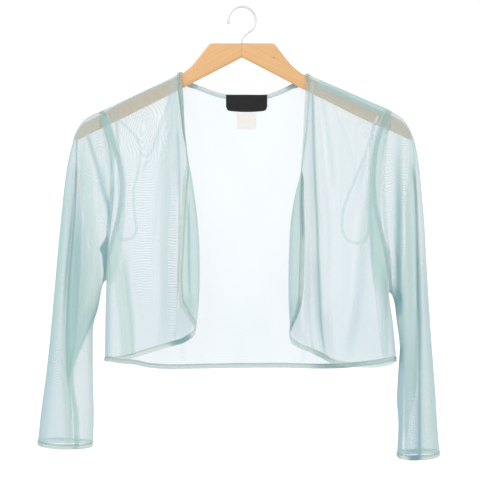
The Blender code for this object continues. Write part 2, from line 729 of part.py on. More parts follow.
def sleeve_surface(side, station, turn):
    """A sleeve's point. Turn goes once round, from overarm down the front to underarm,
    and up the back."""
    station, turn = np.broadcast_arrays(np.asarray(station, float), np.asarray(turn, float))
    in_front = turn <= 0.5
    share = np.where(in_front, turn * 2, 2 - turn * 2)
    steps = np.linspace(0, 1, len(ROUND_SHARES))
    along = np.interp(share, steps, ROUND_SHARES)
    even = along
    over, under = sleeve_edges(side, station)
    length = np.linalg.norm(under - over, axis=-1)
    apart = np.zeros(station.shape)
    follow = smooth_step((station - 2.0) / 4.0)
    for where, mask in (("sleeve front", in_front), ("sleeve back", ~in_front)):
        for number, fold in enumerate(FOLDS[(where, side)]):
            share_of = crease_share(side, where, fold, station)
            if number == 0:
                fixed = ROUND_SHARES[CREASE_COLUMN[where]]
                aim = fixed + (share_of - fixed) * follow
                moved = np.where(along < fixed, along * aim / fixed,
                                 1 - (1 - along) * (1 - aim) / (1 - fixed))
                along = np.where(mask, moved, along)
                share_of = aim
            top, end = max(fold["height"]), min(fold["height"])
            height = over[..., 1] + (under - over)[..., 1] * along
            fade = smooth_step((top - height) / FOLD_FADE)
            fade = fade * smooth_step((height - end) / FOLD_FADE + 0.6) * follow
            bump = fold["depth"] * fade * np.exp(-(((along - share_of) * length / fold["width"]) ** 2))
            apart = np.where(mask, apart + bump, apart)
    flat = over + (under - over) * along[..., None]
    fade = 1 - smooth_step(station / ARMHOLE_FADE)
    edge, edge_depth = armhole_ring(side, even, in_front)
    first_over, first_under = sleeve_edges(side, np.zeros(station.shape))
    flat = flat + (edge - first_over - (first_under - first_over) * even[..., None]) * fade[..., None]
    half = through(SLEEVE_DEPTH["station"], SLEEVE_DEPTH["half"], station)
    square = through(SLEEVE_DEPTH["station"], SLEEVE_DEPTH["square"], station)
    off = np.clip(np.abs(2 * along - 1), 0, 1)
    depth = half * (1 - off ** square) ** (1 / square)
    meet = 1 - smooth_step(station / 1.6)
    depth = depth * (1 - meet) + edge_depth * meet
    round_off = np.sqrt(np.clip(1 - off ** 2, 0, 1))
    depth = depth - apart * round_off * (1 - meet)
    droop = CUFF_DROOP * smooth_step((station - 12) / 3) * round_off
    height = flat[..., 1] - droop * np.where(in_front, 1.0, -0.2)
    return place(side, flat[..., 0], np.where(in_front, -depth, depth), height)


def armhole_ring(side, along, in_front):
    """Where the armhole seam lies, for each share of the way from shoulder to underarm."""
    found = {}
    for which in ("front", "back"):
        at = spaced(armhole(which, side), along.ravel())
        depth, real = hang(which, side, at[:, 0], at[:, 1])
        found[which] = (np.stack([at[:, 0], real], axis=-1).reshape(*along.shape, 2),
                        depth.reshape(along.shape))
    edge = np.where(in_front[..., None], found["front"][0], found["back"][0])
    depth = np.where(in_front, found["front"][1], found["back"][1])
    return edge, depth


def set_off(side, grid):
    """Moves a sleeve's first rings away from the armhole seam by the seam's gap."""
    turns = np.arange(RING) / RING
    ahead = sleeve_surface(side, np.full(RING, 0.5), turns) - sleeve_surface(side, np.zeros(RING), turns)
    ahead /= np.maximum(np.linalg.norm(ahead, axis=1), 1e-6)[:, None]
    under = np.interp(np.minimum(turns, 1 - turns) * 2, np.linspace(0, 1, len(ROUND_SHARES)),
                      ROUND_SHARES)
    away = -1.0 if side == "right" else 1.0
    for row, push in ((0, 1.0), (1, 0.6), (2, 0.25)):
        grid[row] += ahead * SEAM * push
        grid[row, :, 0] += away * under ** 6 * 0.9 * push
    return grid


def outward_ring(side, grid):
    """The ring's columns in the order that points its normals outward."""
    return grid[:, ::-1] if side == "right" else grid


def make_sleeve(side):
    last = LAST_STATION - (CUFF_HEIGHT + SEAM) / STATION_LENGTH
    turns = np.arange(RING) / RING
    stations = np.array([*SLEEVE_ROWS, last])
    grid = set_off(side, sleeve_surface(side, stations[:, None], turns[None, :]))
    wall(f"{side}_sleeve", outward_ring(side, grid), CLOTH, "cloth", ring=True)


def make_cuff(side):
    span = CUFF_HEIGHT / STATION_LENGTH
    turns = np.arange(RING) / RING
    stations = np.array([LAST_STATION - span, LAST_STATION])
    grid = sleeve_surface(side, stations[:, None], turns[None, :])
    wall(f"{side}_cuff_band", outward_ring(side, grid), BINDING, "binding", ring=True)


def make_armhole_tape(side):
    """The seam allowance, turned to the sleeve and lying on its inside."""
    turns = np.arange(RING) / RING
    stations = np.linspace(0, 9, 91)
    fine = set_off(side, sleeve_surface(side, stations[:, None], turns[None, :]))
    run = np.linalg.norm(np.diff(fine, axis=0), axis=2)
    run = np.vstack([np.zeros(RING), np.cumsum(run, axis=0)])
    rows = []
    for reach in (TAPE_START, TAPE_WIDTH / 2, TAPE_WIDTH):
        picks = [np.interp(reach, run[:, j], stations) for j in range(RING)]
        rows.append(np.array([[np.interp(station, stations, fine[:, j, k]) for k in range(3)]
                              for j, station in enumerate(picks)]))
    lift = CLOTH / 2 + TAPE_GAP + CLOTH / 2
    wall(f"{side}_armhole_tape", outward_ring(side, np.stack(rows)), CLOTH, "binding", ring=True,
         shift=-lift)


# Trim

def make_loop(side):
    """A narrow ribbon loop that hangs inside from the shoulder seam."""
    table = LOOP_PATH[side]
    line = spline(np.stack([table["out"], table["depth"], table["height"]], axis=1), 8)
    line = spaced(line, np.linspace(0, 1, 46))
    ahead = np.gradient(line, axis=0)
    ahead /= np.linalg.norm(ahead, axis=1)[:, None]
    across = np.stack([ahead[:, 2], np.zeros(len(ahead)), -ahead[:, 0]], axis=1)
    across /= np.linalg.norm(across, axis=1)[:, None]
    grid = np.stack([line - across * LOOP_WIDTH / 2, line + across * LOOP_WIDTH / 2], axis=1)
    sign = -1.0 if side == "right" else 1.0
    wall(f"{side}_hanger_loop", grid * (sign, 1, 1), RIBBON, "ribbon")


def make_label(name, size, look):
    """A label sewn to the inside of the back, its foot rounded and a little bowed."""
    low, high = size["across"]
    foot, head = size["height"]
    across = np.linspace(low, high, 11)
    from_edge = np.minimum(across - low, high - across)
    corner = size["round"]
    short = corner - np.sqrt(np.clip(corner ** 2 - np.maximum(corner - from_edge, 0) ** 2, 0, None))
    bow = size["sag"] * (1 - ((across - (low + high) / 2) / ((high - low) / 2)) ** 2)
    feet = foot + size["sag"] + short - bow
    rows = [head * (1 - t) + feet * t for t in np.linspace(0, 1, 4)]
    heights = np.stack(rows)
    points = back_surface(np.broadcast_to(across, heights.shape), heights)
    points[:, :, 1] -= size["lift"]
    wall(name, points, size["thick"], look)


# Hanger

def hanger_stations():
    between = {20.0, 76.2, 98.0, 132.0}
    right, left = (sorted({*HANGER_TOP[side]["out"], *between}) for side in ("right", "left"))
    return [-x for x in right[:0:-1]] + left


def make_hanger():
    """The wooden arms, lofted through upright sections with rounded corners."""
    mesh = bmesh.new()
    rings = []
    for x in hanger_stations():
        side = "right" if x < 0 else "left"
        top = float(through(HANGER_TOP[side]["out"], HANGER_TOP[side]["height"], abs(x)))
        under = float(np.interp(abs(x), HANGER_UNDER[side]["out"], HANGER_UNDER[side]["height"]))
        corner = min(HANGER_CORNER, 0.48 * (top - under))
        half = HANGER_HALF_THICK - max(0.0, abs(x) - 212.0) * 0.35
        ring = []
        for sign_y, sign_z, start in ((1, 1, 0), (-1, 1, 90), (-1, -1, 180), (1, -1, 270)):
            y = sign_y * (half - corner)
            z = (top - corner) if sign_z > 0 else (under + corner)
            for angle in (0, 30, 60, 90):
                turn = math.radians(start + angle)
                ring.append(mesh.verts.new((x * MM, (y + corner * math.cos(turn)) * MM,
                                            (z + corner * math.sin(turn)) * MM)))
        rings.append(ring)
    for first, second in zip(rings[:-1], rings[1:]):
        for j in range(len(first)):
            k = (j + 1) % len(first)
            mesh.faces.new((first[j], first[k], second[k], second[j]))
    mesh.faces.new(rings[0])
    mesh.faces.new(rings[-1][::-1])
    body = finish("hanger_arms", mesh, "wood")
    bpy.ops.mesh.primitive_cylinder_add(
        vertices=24, radius=(HOOK_WIRE / 2 + HOOK_CLEARANCE) * MM,
        depth=2 * (HOOK_SEAT + HOOK_CLEARANCE) * MM, location=(0, 0, CREST * MM))
    cutter = bpy.context.object
    cutter.name = "hook_bore_cutter"
    cutter.hide_render = True
    cutter.display_type = "WIRE"
    cut = body.modifiers.new("hook_bore", "BOOLEAN")
    cut.object = cutter
    cut.operation = "DIFFERENCE"


def hook_line():
    """Centre line of the hook: up from the crest, round over the rail, to its tip."""
    radius = HOOK_INSIDE + HOOK_WIRE / 2
    centre = -HOOK_INSIDE
    shank = [(0.0, z) for z in np.linspace(CREST - HOOK_SEAT, -41.0, 4)]
    bend = [(0.7, -38.4), (3.4, -35.6)]
    arc = [(radius * math.cos(math.radians(a)), centre + radius * math.sin(math.radians(a)))
           for a in range(-66, 206, 12)]
    return spline(shank + bend + arc, 3)


def make_hook():
    data = bpy.data.curves.new("hanger_hook", "CURVE")
    data.dimensions = "3D"
    data.bevel_depth = HOOK_WIRE / 2 * MM
    data.bevel_resolution = 2
    data.use_fill_caps = True
    line = spaced(hook_line(), np.linspace(0, 1, 44))
    path = data.splines.new("POLY")
    path.points.add(len(line) - 1)
    for point, (x, z) in zip(path.points, line):
        point.co = (x * MM, 0.0, z * MM, 1.0)
    data.materials.append(material("steel"))
    made = bpy.data.objects.new("hanger_hook", data)
    bpy.context.scene.collection.objects.link(made)


def build():
    clear_scene()
    make_hanger()
    make_hook()
    make_back()
    make_back_bindings()
    for side in ("right", "left"):
        make_front(side)
        make_front_binding(side)
        make_sleeve(side)
        make_cuff(side)
        make_armhole_tape(side)
        make_loop(side)
    make_label("brand_label", LABELS["brand_label"], "black")
    make_label("care_label", LABELS["care_label"], "white")


build()
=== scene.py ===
import math

import bmesh
import bpy
import numpy as np
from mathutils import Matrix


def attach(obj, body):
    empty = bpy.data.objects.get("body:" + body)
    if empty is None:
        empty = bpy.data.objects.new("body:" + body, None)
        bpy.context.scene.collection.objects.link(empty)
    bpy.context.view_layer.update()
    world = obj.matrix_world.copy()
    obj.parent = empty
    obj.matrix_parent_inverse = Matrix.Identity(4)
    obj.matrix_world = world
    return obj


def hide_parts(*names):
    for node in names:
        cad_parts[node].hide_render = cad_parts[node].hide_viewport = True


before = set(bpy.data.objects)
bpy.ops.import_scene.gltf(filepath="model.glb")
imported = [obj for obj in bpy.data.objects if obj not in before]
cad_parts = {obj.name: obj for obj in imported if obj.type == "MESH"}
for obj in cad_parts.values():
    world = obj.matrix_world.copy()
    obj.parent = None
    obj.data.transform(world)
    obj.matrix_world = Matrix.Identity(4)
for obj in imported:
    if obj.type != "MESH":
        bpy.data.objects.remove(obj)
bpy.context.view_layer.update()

mm = 0.001
sides = ("right", "left")

# sizes in millimetres, out = distance from the middle, height = above the hook's inside top
# right and left are the wearer's sides, so right lies at -X
cloth = {
    "frontCell": 1.25,
    "cell": 1.7,             # size of a mesh cell
    "ridgeRadius": 8.8,      # bend over the shoulder
    "lapelRadius": 6.0,
    "flare": 11.0, "flareTop": -150.0, "flareEnd": -460.0,
    "sideRound": 14.0, "sideRoundTop": -170.0, "sideRoundFull": -300.0,
    "foldFade": 35.0,
    "bindingWidth": 6.5,
    "tuckedIn": 2.5,         # how far a panel's edge goes inside its binding
    "netPitch": 1.05,        # holes of the mesh
}
arc = cloth["ridgeRadius"] * math.pi / 2
arcSaves = arc - cloth["ridgeRadius"]
bendRows = 10                # rows of points over the shoulder's bend
splineSteps = 12             # points between two of a table's rows

ridgeTable = {
    "right": {
        "out": [70.0, 78.0, 91.0, 106.6, 119.6, 144.3, 171.6, 180.7, 190.5],
        "height": [-83.3, -83.3, -90.2, -98.0, -103.9, -115.6, -128.5, -132.6, -137.3],
    },
    "left": {
        "out": [70.0, 82.6, 96.2, 115.0, 133.9, 166.4, 189.8, 199.5],
        "height": [-85.5, -85.5, -90.9, -99.0, -107.1, -121.4, -131.4, -137.5],
    },
}
shoulderOut = {"right": 180.7, "left": 189.8}
lapel = {
    "right": {
        "height": [-83, -104, -126, -160, -178, -191, -204, -221, -247, -282,
                   -322, -356, -381, -394, -406, -420, -434],
        "out": [84.5, 85.0, 84.6, 82.0, 78.8, 76.8, 74.2, 70.8, 66.8, 62.8,
                60.6, 60.4, 61.6, 62.6, 64.1, 66.5, 68.0],
        "turn": [0, 5, 35, 68, 86, 105, 125, 146, 167, 172,
                 173, 173, 170, 160, 140, 100, 60],
    },
    "left": {
        "height": [-86, -108, -128, -159, -185, -210, -224, -238, -259, -283,
                   -316, -356, -373, -391, -404, -416, -434],
        "out": [91.3, 91.0, 90.5, 89.7, 86.8, 82.9, 79.5, 75.8, 71.6, 68.4,
                66.7, 65.8, 65.9, 66.5, 67.2, 67.5, 68.5],
        "turn": [0, 4, 18, 45, 70, 90, 125, 150, 165, 170,
                 172, 172, 170, 160, 140, 110, 60],
    },
}
frontEdge = {
    "right": [(78.0, None), (77.0, -104), (74.0, -126), (68.5, -160), (64.0, -178),
              (60.3, -191), (55.3, -204), (46.5, -221), (36.5, -247), (26.8, -282),
              (20.5, -322), (18.9, -356), (23.4, -381), (31.1, -394), (41.4, -406),
              (54.5, -419.5), (65.6, -428.5), (75.0, -434.2), (91.5, -439.3),
              (108.2, -444.2), (124.8, -449.2), (141.3, -454.2), (158.0, -458.0),
              (178.5, -459.2)],
    "left": [(82.6, None), (82.0, -108), (80.5, -128), (76.8, -159), (70.9, -185),
             (63.9, -210), (57.8, -224), (51.8, -238), (43.8, -259), (36.8, -283),
             (33.9, -316), (33.2, -356), (34.4, -373), (38.3, -391), (44.0, -404),
             (50.0, -416), (56.6, -427), (64.1, -435.5), (72.5, -440.8),
             (89.0, -447.5), (105.7, -455.8), (113.9, -460.7), (130.5, -464.9),
             (155.4, -466.6), (172.0, -466.6), (188.5, -464.1), (201.0, -459.5)],
}
frontCorner = 15             # row of frontEdge where the hem starts
armholeTable = {
    "right": {
        "front": [(180.7, None), (169.0, -156), (162.2, -179.4), (156.3, -197.2),
                  (151.7, -227.1), (153.9, -253.9), (159.3, -277.8), (165.1, -298.7),
                  (172.0, -330), (176.2, -353.6)],
        "back": [(180.7, None), (176.8, -152), (172.6, -179.4), (169.0, -202.8),
                 (165.9, -224), (167.0, -249.6), (170.3, -282), (172.9, -314.6),
                 (175.0, -335), (176.2, -353.6)],
    },
    "left": {
        "front": [(189.8, None), (178.4, -152.5), (170.8, -179.3), (167.8, -203.2),
                  (167.2, -224.1), (169.4, -253.9), (175.4, -279.4), (181.4, -306.2),
                  (187.0, -338), (191.1, -369.2)],
        "back": [(189.8, None), (185.9, -152.1), (182.7, -179.4), (180.7, -204.1),
                 (180.7, -230.1), (182.7, -262.6), (185.9, -301.6), (188.4, -330),
                 (190.0, -350), (191.1, -369.2)],
    },
}
sideSeam = {
    "right": {"height": [-120, -353.6, -366.6, -392.6, -425.1, -459.2],
              "out": [176.2, 176.2, 176.8, 177.5, 178.1, 178.5]},
    "left": {"height": [-120, -369.2, -379.6, -405.6, -434.2, -459.5],
             "out": [191.1, 191.1, 191.9, 195.7, 198.6, 201.0]},
}
backNeck = [(-78.0, None), (-74.5, -91), (-68.0, -96), (-60.0, -98.5),
            (-43.8, -104.5), (-24.0, -110.6), (6.0, -111.6), (32.0, -111.2),
            (55.6, -102.6), (64.4, -98.3), (73.0, -96), (79.0, -91.5), (82.6, None)]
backHem = [(-178.5, -459.2), (-160.0, -463.0), (-141.3, -464.5), (-124.8, -468.2),
           (-100.0, -470.4), (-60.0, -470.0), (0.0, -468.9), (60.0, -468.9),
           (100.0, -469.9), (130.5, -469.3), (155.0, -466.9), (180.0, -463.8),
           (201.0, -459.5)]


def crease(height, out, depth, width):
    return {"height": height, "out": out, "depth": depth, "width": width}


# troughs and ridges of the cloth, a positive depth going in, away from the viewer
folds = {
    ("front", "right"): [
        crease([-95, -150, -247, -330, -430], [88, 98, 102, 101, 99], depth=-3.6, width=9.0),
        crease([-100, -140, -180, -215], [92, 104, 114, 119], depth=2.0, width=9.0),
        crease([-300, -350, -400, -455], [160, 153, 149, 146], depth=-4.2, width=9.0),
        crease([-230, -300, -380, -440], [128, 126, 122, 118], depth=2.4, width=9.0),
        crease([-90, -131, -180, -215], [84, 98, 114, 126], depth=1.3, width=3.2),
        crease([-302, -340, -378, -416, -455], [169, 161, 154, 148, 145], depth=1.5, width=3.4),
        crease([-150, -250, -350, -430], [82, 80, 81, 84], depth=1.2, width=3.0),
    ],
    ("front", "left"): [
        crease([-104, -160, -250, -340, -400, -450], [91, 93, 96, 100, 104, 110], depth=4.0,
               width=8.0),
        crease([-120, -180, -250, -350], [103, 106, 110, 116], depth=-3.0, width=8.0),
        crease([-225, -300, -380, -455], [166, 160, 148, 140], depth=3.2, width=9.0),
        crease([-330, -390, -450], [176, 178, 180], depth=-3.0, width=8.0),
        crease([-100, -151, -233, -316, -378, -440], [92, 93, 97, 100, 101, 108], depth=1.4,
               width=2.6),
        crease([-96, -130, -180, -230], [108, 122, 140, 152], depth=0.9, width=5.0),
        crease([-290, -345, -400, -454], [164, 171, 177, 183], depth=1.2, width=3.4),
    ],
    ("back", "right"): [
        crease([-150, -230, -330, -450], [120, 116, 112, 108], depth=-3.0, width=11.0),
        crease([-220, -300, -380, -455], [148, 146, 142, 140], depth=3.0, width=9.0),
        crease([-170, -260, -360, -460], [60, 58, 55, 52], depth=-2.2, width=14.0),
        crease([-120, -190, -260, -320], [96, 104, 112, 117], depth=1.1, width=3.6),
        crease([-250, -330, -400, -462], [85, 82, 80, 77], depth=1.0, width=4.0),
    ],
    ("back", "left"): [
        crease([-150, -240, -340, -455], [126, 122, 120, 118], depth=-3.2, width=10.0),
        crease([-230, -310, -390, -455], [158, 155, 152, 150], depth=3.0, width=9.0),
        crease([-180, -270, -370, -460], [48, 46, 44, 40], depth=-2.0, width=14.0),
        crease([-115, -200, -280, -350], [100, 106, 112, 114], depth=1.2, width=3.4),
        crease([-300, -370, -420, -462], [86, 84, 83, 80], depth=1.0, width=4.0),
    ],
    ("sleeve front", "right"): [
        crease([-186, -224, -284, -343, -413, -473, -515, -533, -575],
               [215, 215, 219.7, 224.9, 228.2, 227.1, 221.9, 219.2, 218.4], depth=6.0, width=6.5),
        crease([-178, -206, -240, -272], [200, 190, 182, 175], depth=3.0, width=10.0),
    ],
    ("sleeve front", "left"): [
        crease([-186, -224, -254, -314, -413, -495, -581],
               [221, 223.9, 226.1, 228.3, 229.5, 230.1, 230.1], depth=6.0, width=6.5),
        crease([-178, -224, -284, -343, -385], [209, 205.5, 204.5, 203.5, 204], depth=3.4,
               width=10.0),
    ],
    ("sleeve back", "right"): [
        crease([-190, -260, -340, -430, -560], [209, 212, 216, 220, 224], depth=4.6, width=7.5),
        crease([-230, -300, -350], [192, 200, 206], depth=-2.6, width=10.0),
    ],
    ("sleeve back", "left"): [
        crease([-195, -270, -350, -450, -570], [214, 216, 220, 224, 226], depth=4.6, width=7.5),
        crease([-240, -310, -370], [200, 207, 212], depth=-2.6, width=10.0),
    ],
}


# curves through tables

def smoothStep(value):
    held = np.clip(value, 0.0, 1.0)
    return held * held * (3.0 - 2.0 * held)


def through(keys, values, at):
    # smooth curve through a table, with no overshoot at a turning point
    x = np.asarray(keys, float)
    y = np.asarray(values, float)
    if x[0] > x[-1]:
        x, y = x[::-1], y[::-1]
    step = np.diff(x)
    slope = np.diff(y) / step
    tangent = np.empty_like(y)
    tangent[0], tangent[-1] = slope[0], slope[-1]
    before, after = slope[:-1], slope[1:]
    mean = np.where(before * after > 0, 2 * before * after / (before + after + 1e-12), 0.0)
    tangent[1:-1] = mean
    held = np.clip(np.asarray(at, float), x[0], x[-1])
    i = np.clip(np.searchsorted(x, held, side="right") - 1, 0, len(step) - 1)
    h = step[i]
    t = (held - x[i]) / h
    return (y[i] * (1 + 2 * t) * (1 - t) ** 2 + tangent[i] * h * t * (1 - t) ** 2
            + y[i + 1] * t * t * (3 - 2 * t) + tangent[i + 1] * h * t * t * (t - 1))


def spline(points, perSpan=splineSteps):
    p = np.asarray(points, float)
    ends = np.vstack([2 * p[0] - p[1], p, 2 * p[-1] - p[-2]])
    found = []
    for a, b, c, d in zip(ends[:-3], ends[1:-2], ends[2:-1], ends[3:]):
        k0 = 0.0
        k1 = k0 + np.linalg.norm(b - a) ** 0.5
        k2 = k1 + np.linalg.norm(c - b) ** 0.5
        k3 = k2 + np.linalg.norm(d - c) ** 0.5
        for k in np.linspace(k1, k2, perSpan, endpoint=False):
            ab = a + (b - a) * (k - k0) / (k1 - k0)
            bc = b + (c - b) * (k - k1) / (k2 - k1)
            cd = c + (d - c) * (k - k2) / (k3 - k2)
            abc = ab + (bc - ab) * (k - k0) / (k2 - k0)
            bcd = bc + (cd - bc) * (k - k1) / (k3 - k1)
            found.append(abc + (bcd - abc) * (k - k1) / (k2 - k1))
    found.append(p[-1])
    return np.array(found)


def runOf(line):
    return np.concatenate([[0.0], np.cumsum(np.linalg.norm(np.diff(line, axis=0), axis=1))])


def spaced(line, shares):
    run = runOf(line)
    at = np.asarray(shares) * run[-1]
    return np.stack([np.interp(at, run, line[:, k]) for k in range(line.shape[1])], axis=1)


def inward(line, by, turn=1.0):
    ahead = np.gradient(line, axis=0)
    ahead /= np.linalg.norm(ahead, axis=1)[:, None]
    return line + turn * by * np.stack([-ahead[:, 1], ahead[:, 0]], axis=1)


# from the flat cut to a place in the air

def ridge(side, out):
    return through(ridgeTable[side]["out"], ridgeTable[side]["height"], out)


def ridgeCut(side, out):
    return ridge(side, out) + arcSaves


def foldShift(where, side, out, height):
    moved = np.zeros(np.broadcast(out, height).shape)
    for fold in folds[(where, side)]:
        line = through(fold["height"], fold["out"], height)
        top, end = max(fold["height"]), min(fold["height"])
        fade = smoothStep((top - height) / cloth["foldFade"])
        fade = fade * smoothStep((height - end) / cloth["foldFade"] + 0.6)
        moved = moved + fold["depth"] * fade * np.exp(-(((out - line) / fold["width"]) ** 2))
    return moved


def clothDepth(where, side, out, height):
    share = (cloth["flareTop"] - height) / (cloth["flareTop"] - cloth["flareEnd"])
    depth = cloth["ridgeRadius"] + cloth["flare"] * smoothStep(share)
    depth = depth - foldShift(where, side, out, height)
    seam = through(sideSeam[side]["height"], sideSeam[side]["out"], height)
    near = 1.0 - np.clip((seam - out) / cloth["sideRound"], 0.0, 1.0)
    rounded = np.sqrt(np.clip(1.0 - near * near, 0.0, 1.0))
    share = smoothStep((cloth["sideRoundTop"] - height)
                       / (cloth["sideRoundTop"] - cloth["sideRoundFull"]))
    return depth * (1.0 - share + share * rounded)


def hang(where, side, out, height, foldOut=None):
    down = ridgeCut(side, out) - height
    angle = np.clip(down / cloth["ridgeRadius"], 0.0, math.pi / 2)
    real = np.where(down < arc, ridge(side, out) - cloth["ridgeRadius"] * (1 - np.cos(angle)), height)
    full = clothDepth(where, side, out if foldOut is None else foldOut, height)
    return full * np.sin(angle), real


def frontSurface(side, out, height):
    out, height = np.broadcast_arrays(np.asarray(out, float), np.asarray(height, float))
    start = through(lapel[side]["height"], lapel[side]["out"], height)
    turn = np.radians(through(lapel[side]["height"], lapel[side]["turn"], height))
    past = np.maximum(start - out, 0.0)
    bent = np.minimum(past / cloth["lapelRadius"], turn)
    straight = past - cloth["lapelRadius"] * bent
    flatOut = np.maximum(out, start)
    depth, real = hang("front", side, out, height, flatOut)
    reach = flatOut - cloth["lapelRadius"] * np.sin(bent) - straight * np.cos(turn)
    forward = cloth["lapelRadius"] * (1 - np.cos(bent)) + straight * np.sin(turn)
    return place(side, reach, -(depth + forward), real)


def backSurface(across, height):
    across, height = np.broadcast_arrays(np.asarray(across, float), np.asarray(height, float))
    depth = np.empty(across.shape)
    real = np.empty(across.shape)
    for side, mask in (("right", across < 0), ("left", across >= 0)):
        found, heights = hang("back", side, np.abs(across), height)
        depth[mask], real[mask] = found[mask], heights[mask]
    return np.stack([across, depth, real], axis=-1)


def place(side, out, y, height):
    sign = -1.0 if side == "right" else 1.0
    return np.stack([sign * out, y, height], axis=-1)


def withRidge(points, sideOf):
    return [(out, ridgeCut(sideOf(out), abs(out)) if height is None else height)
            for out, height in points]


def armhole(which, side):
    return spline(withRidge(armholeTable[side][which], lambda out: side))


# how dense, dark and green the cloth looks, in places; its shade is painted shade of creases, folds,
# rolls and the armpit, darkening the colour towards the folded one

def band(height, inner, outer, soft, layers, shade=0.0, hue=0.0, ends=(14, 14)):
    # between an inner and an outer line; ends are the fades at its top and foot
    inner, outer = (line if isinstance(line, list) else [line] * len(height)
                    for line in (inner, outer))
    return {"height": height, "inner": inner, "outer": outer, "soft": soft, "layers": layers,
            "shade": shade, "hue": hue, "ends": ends}


def streak(height, out, width, layers, shade=0.0, hue=0.0, ends=(14, 14)):
    # along one line
    return {"height": height, "out": out, "width": width, "layers": layers, "shade": shade,
            "hue": hue, "ends": ends}


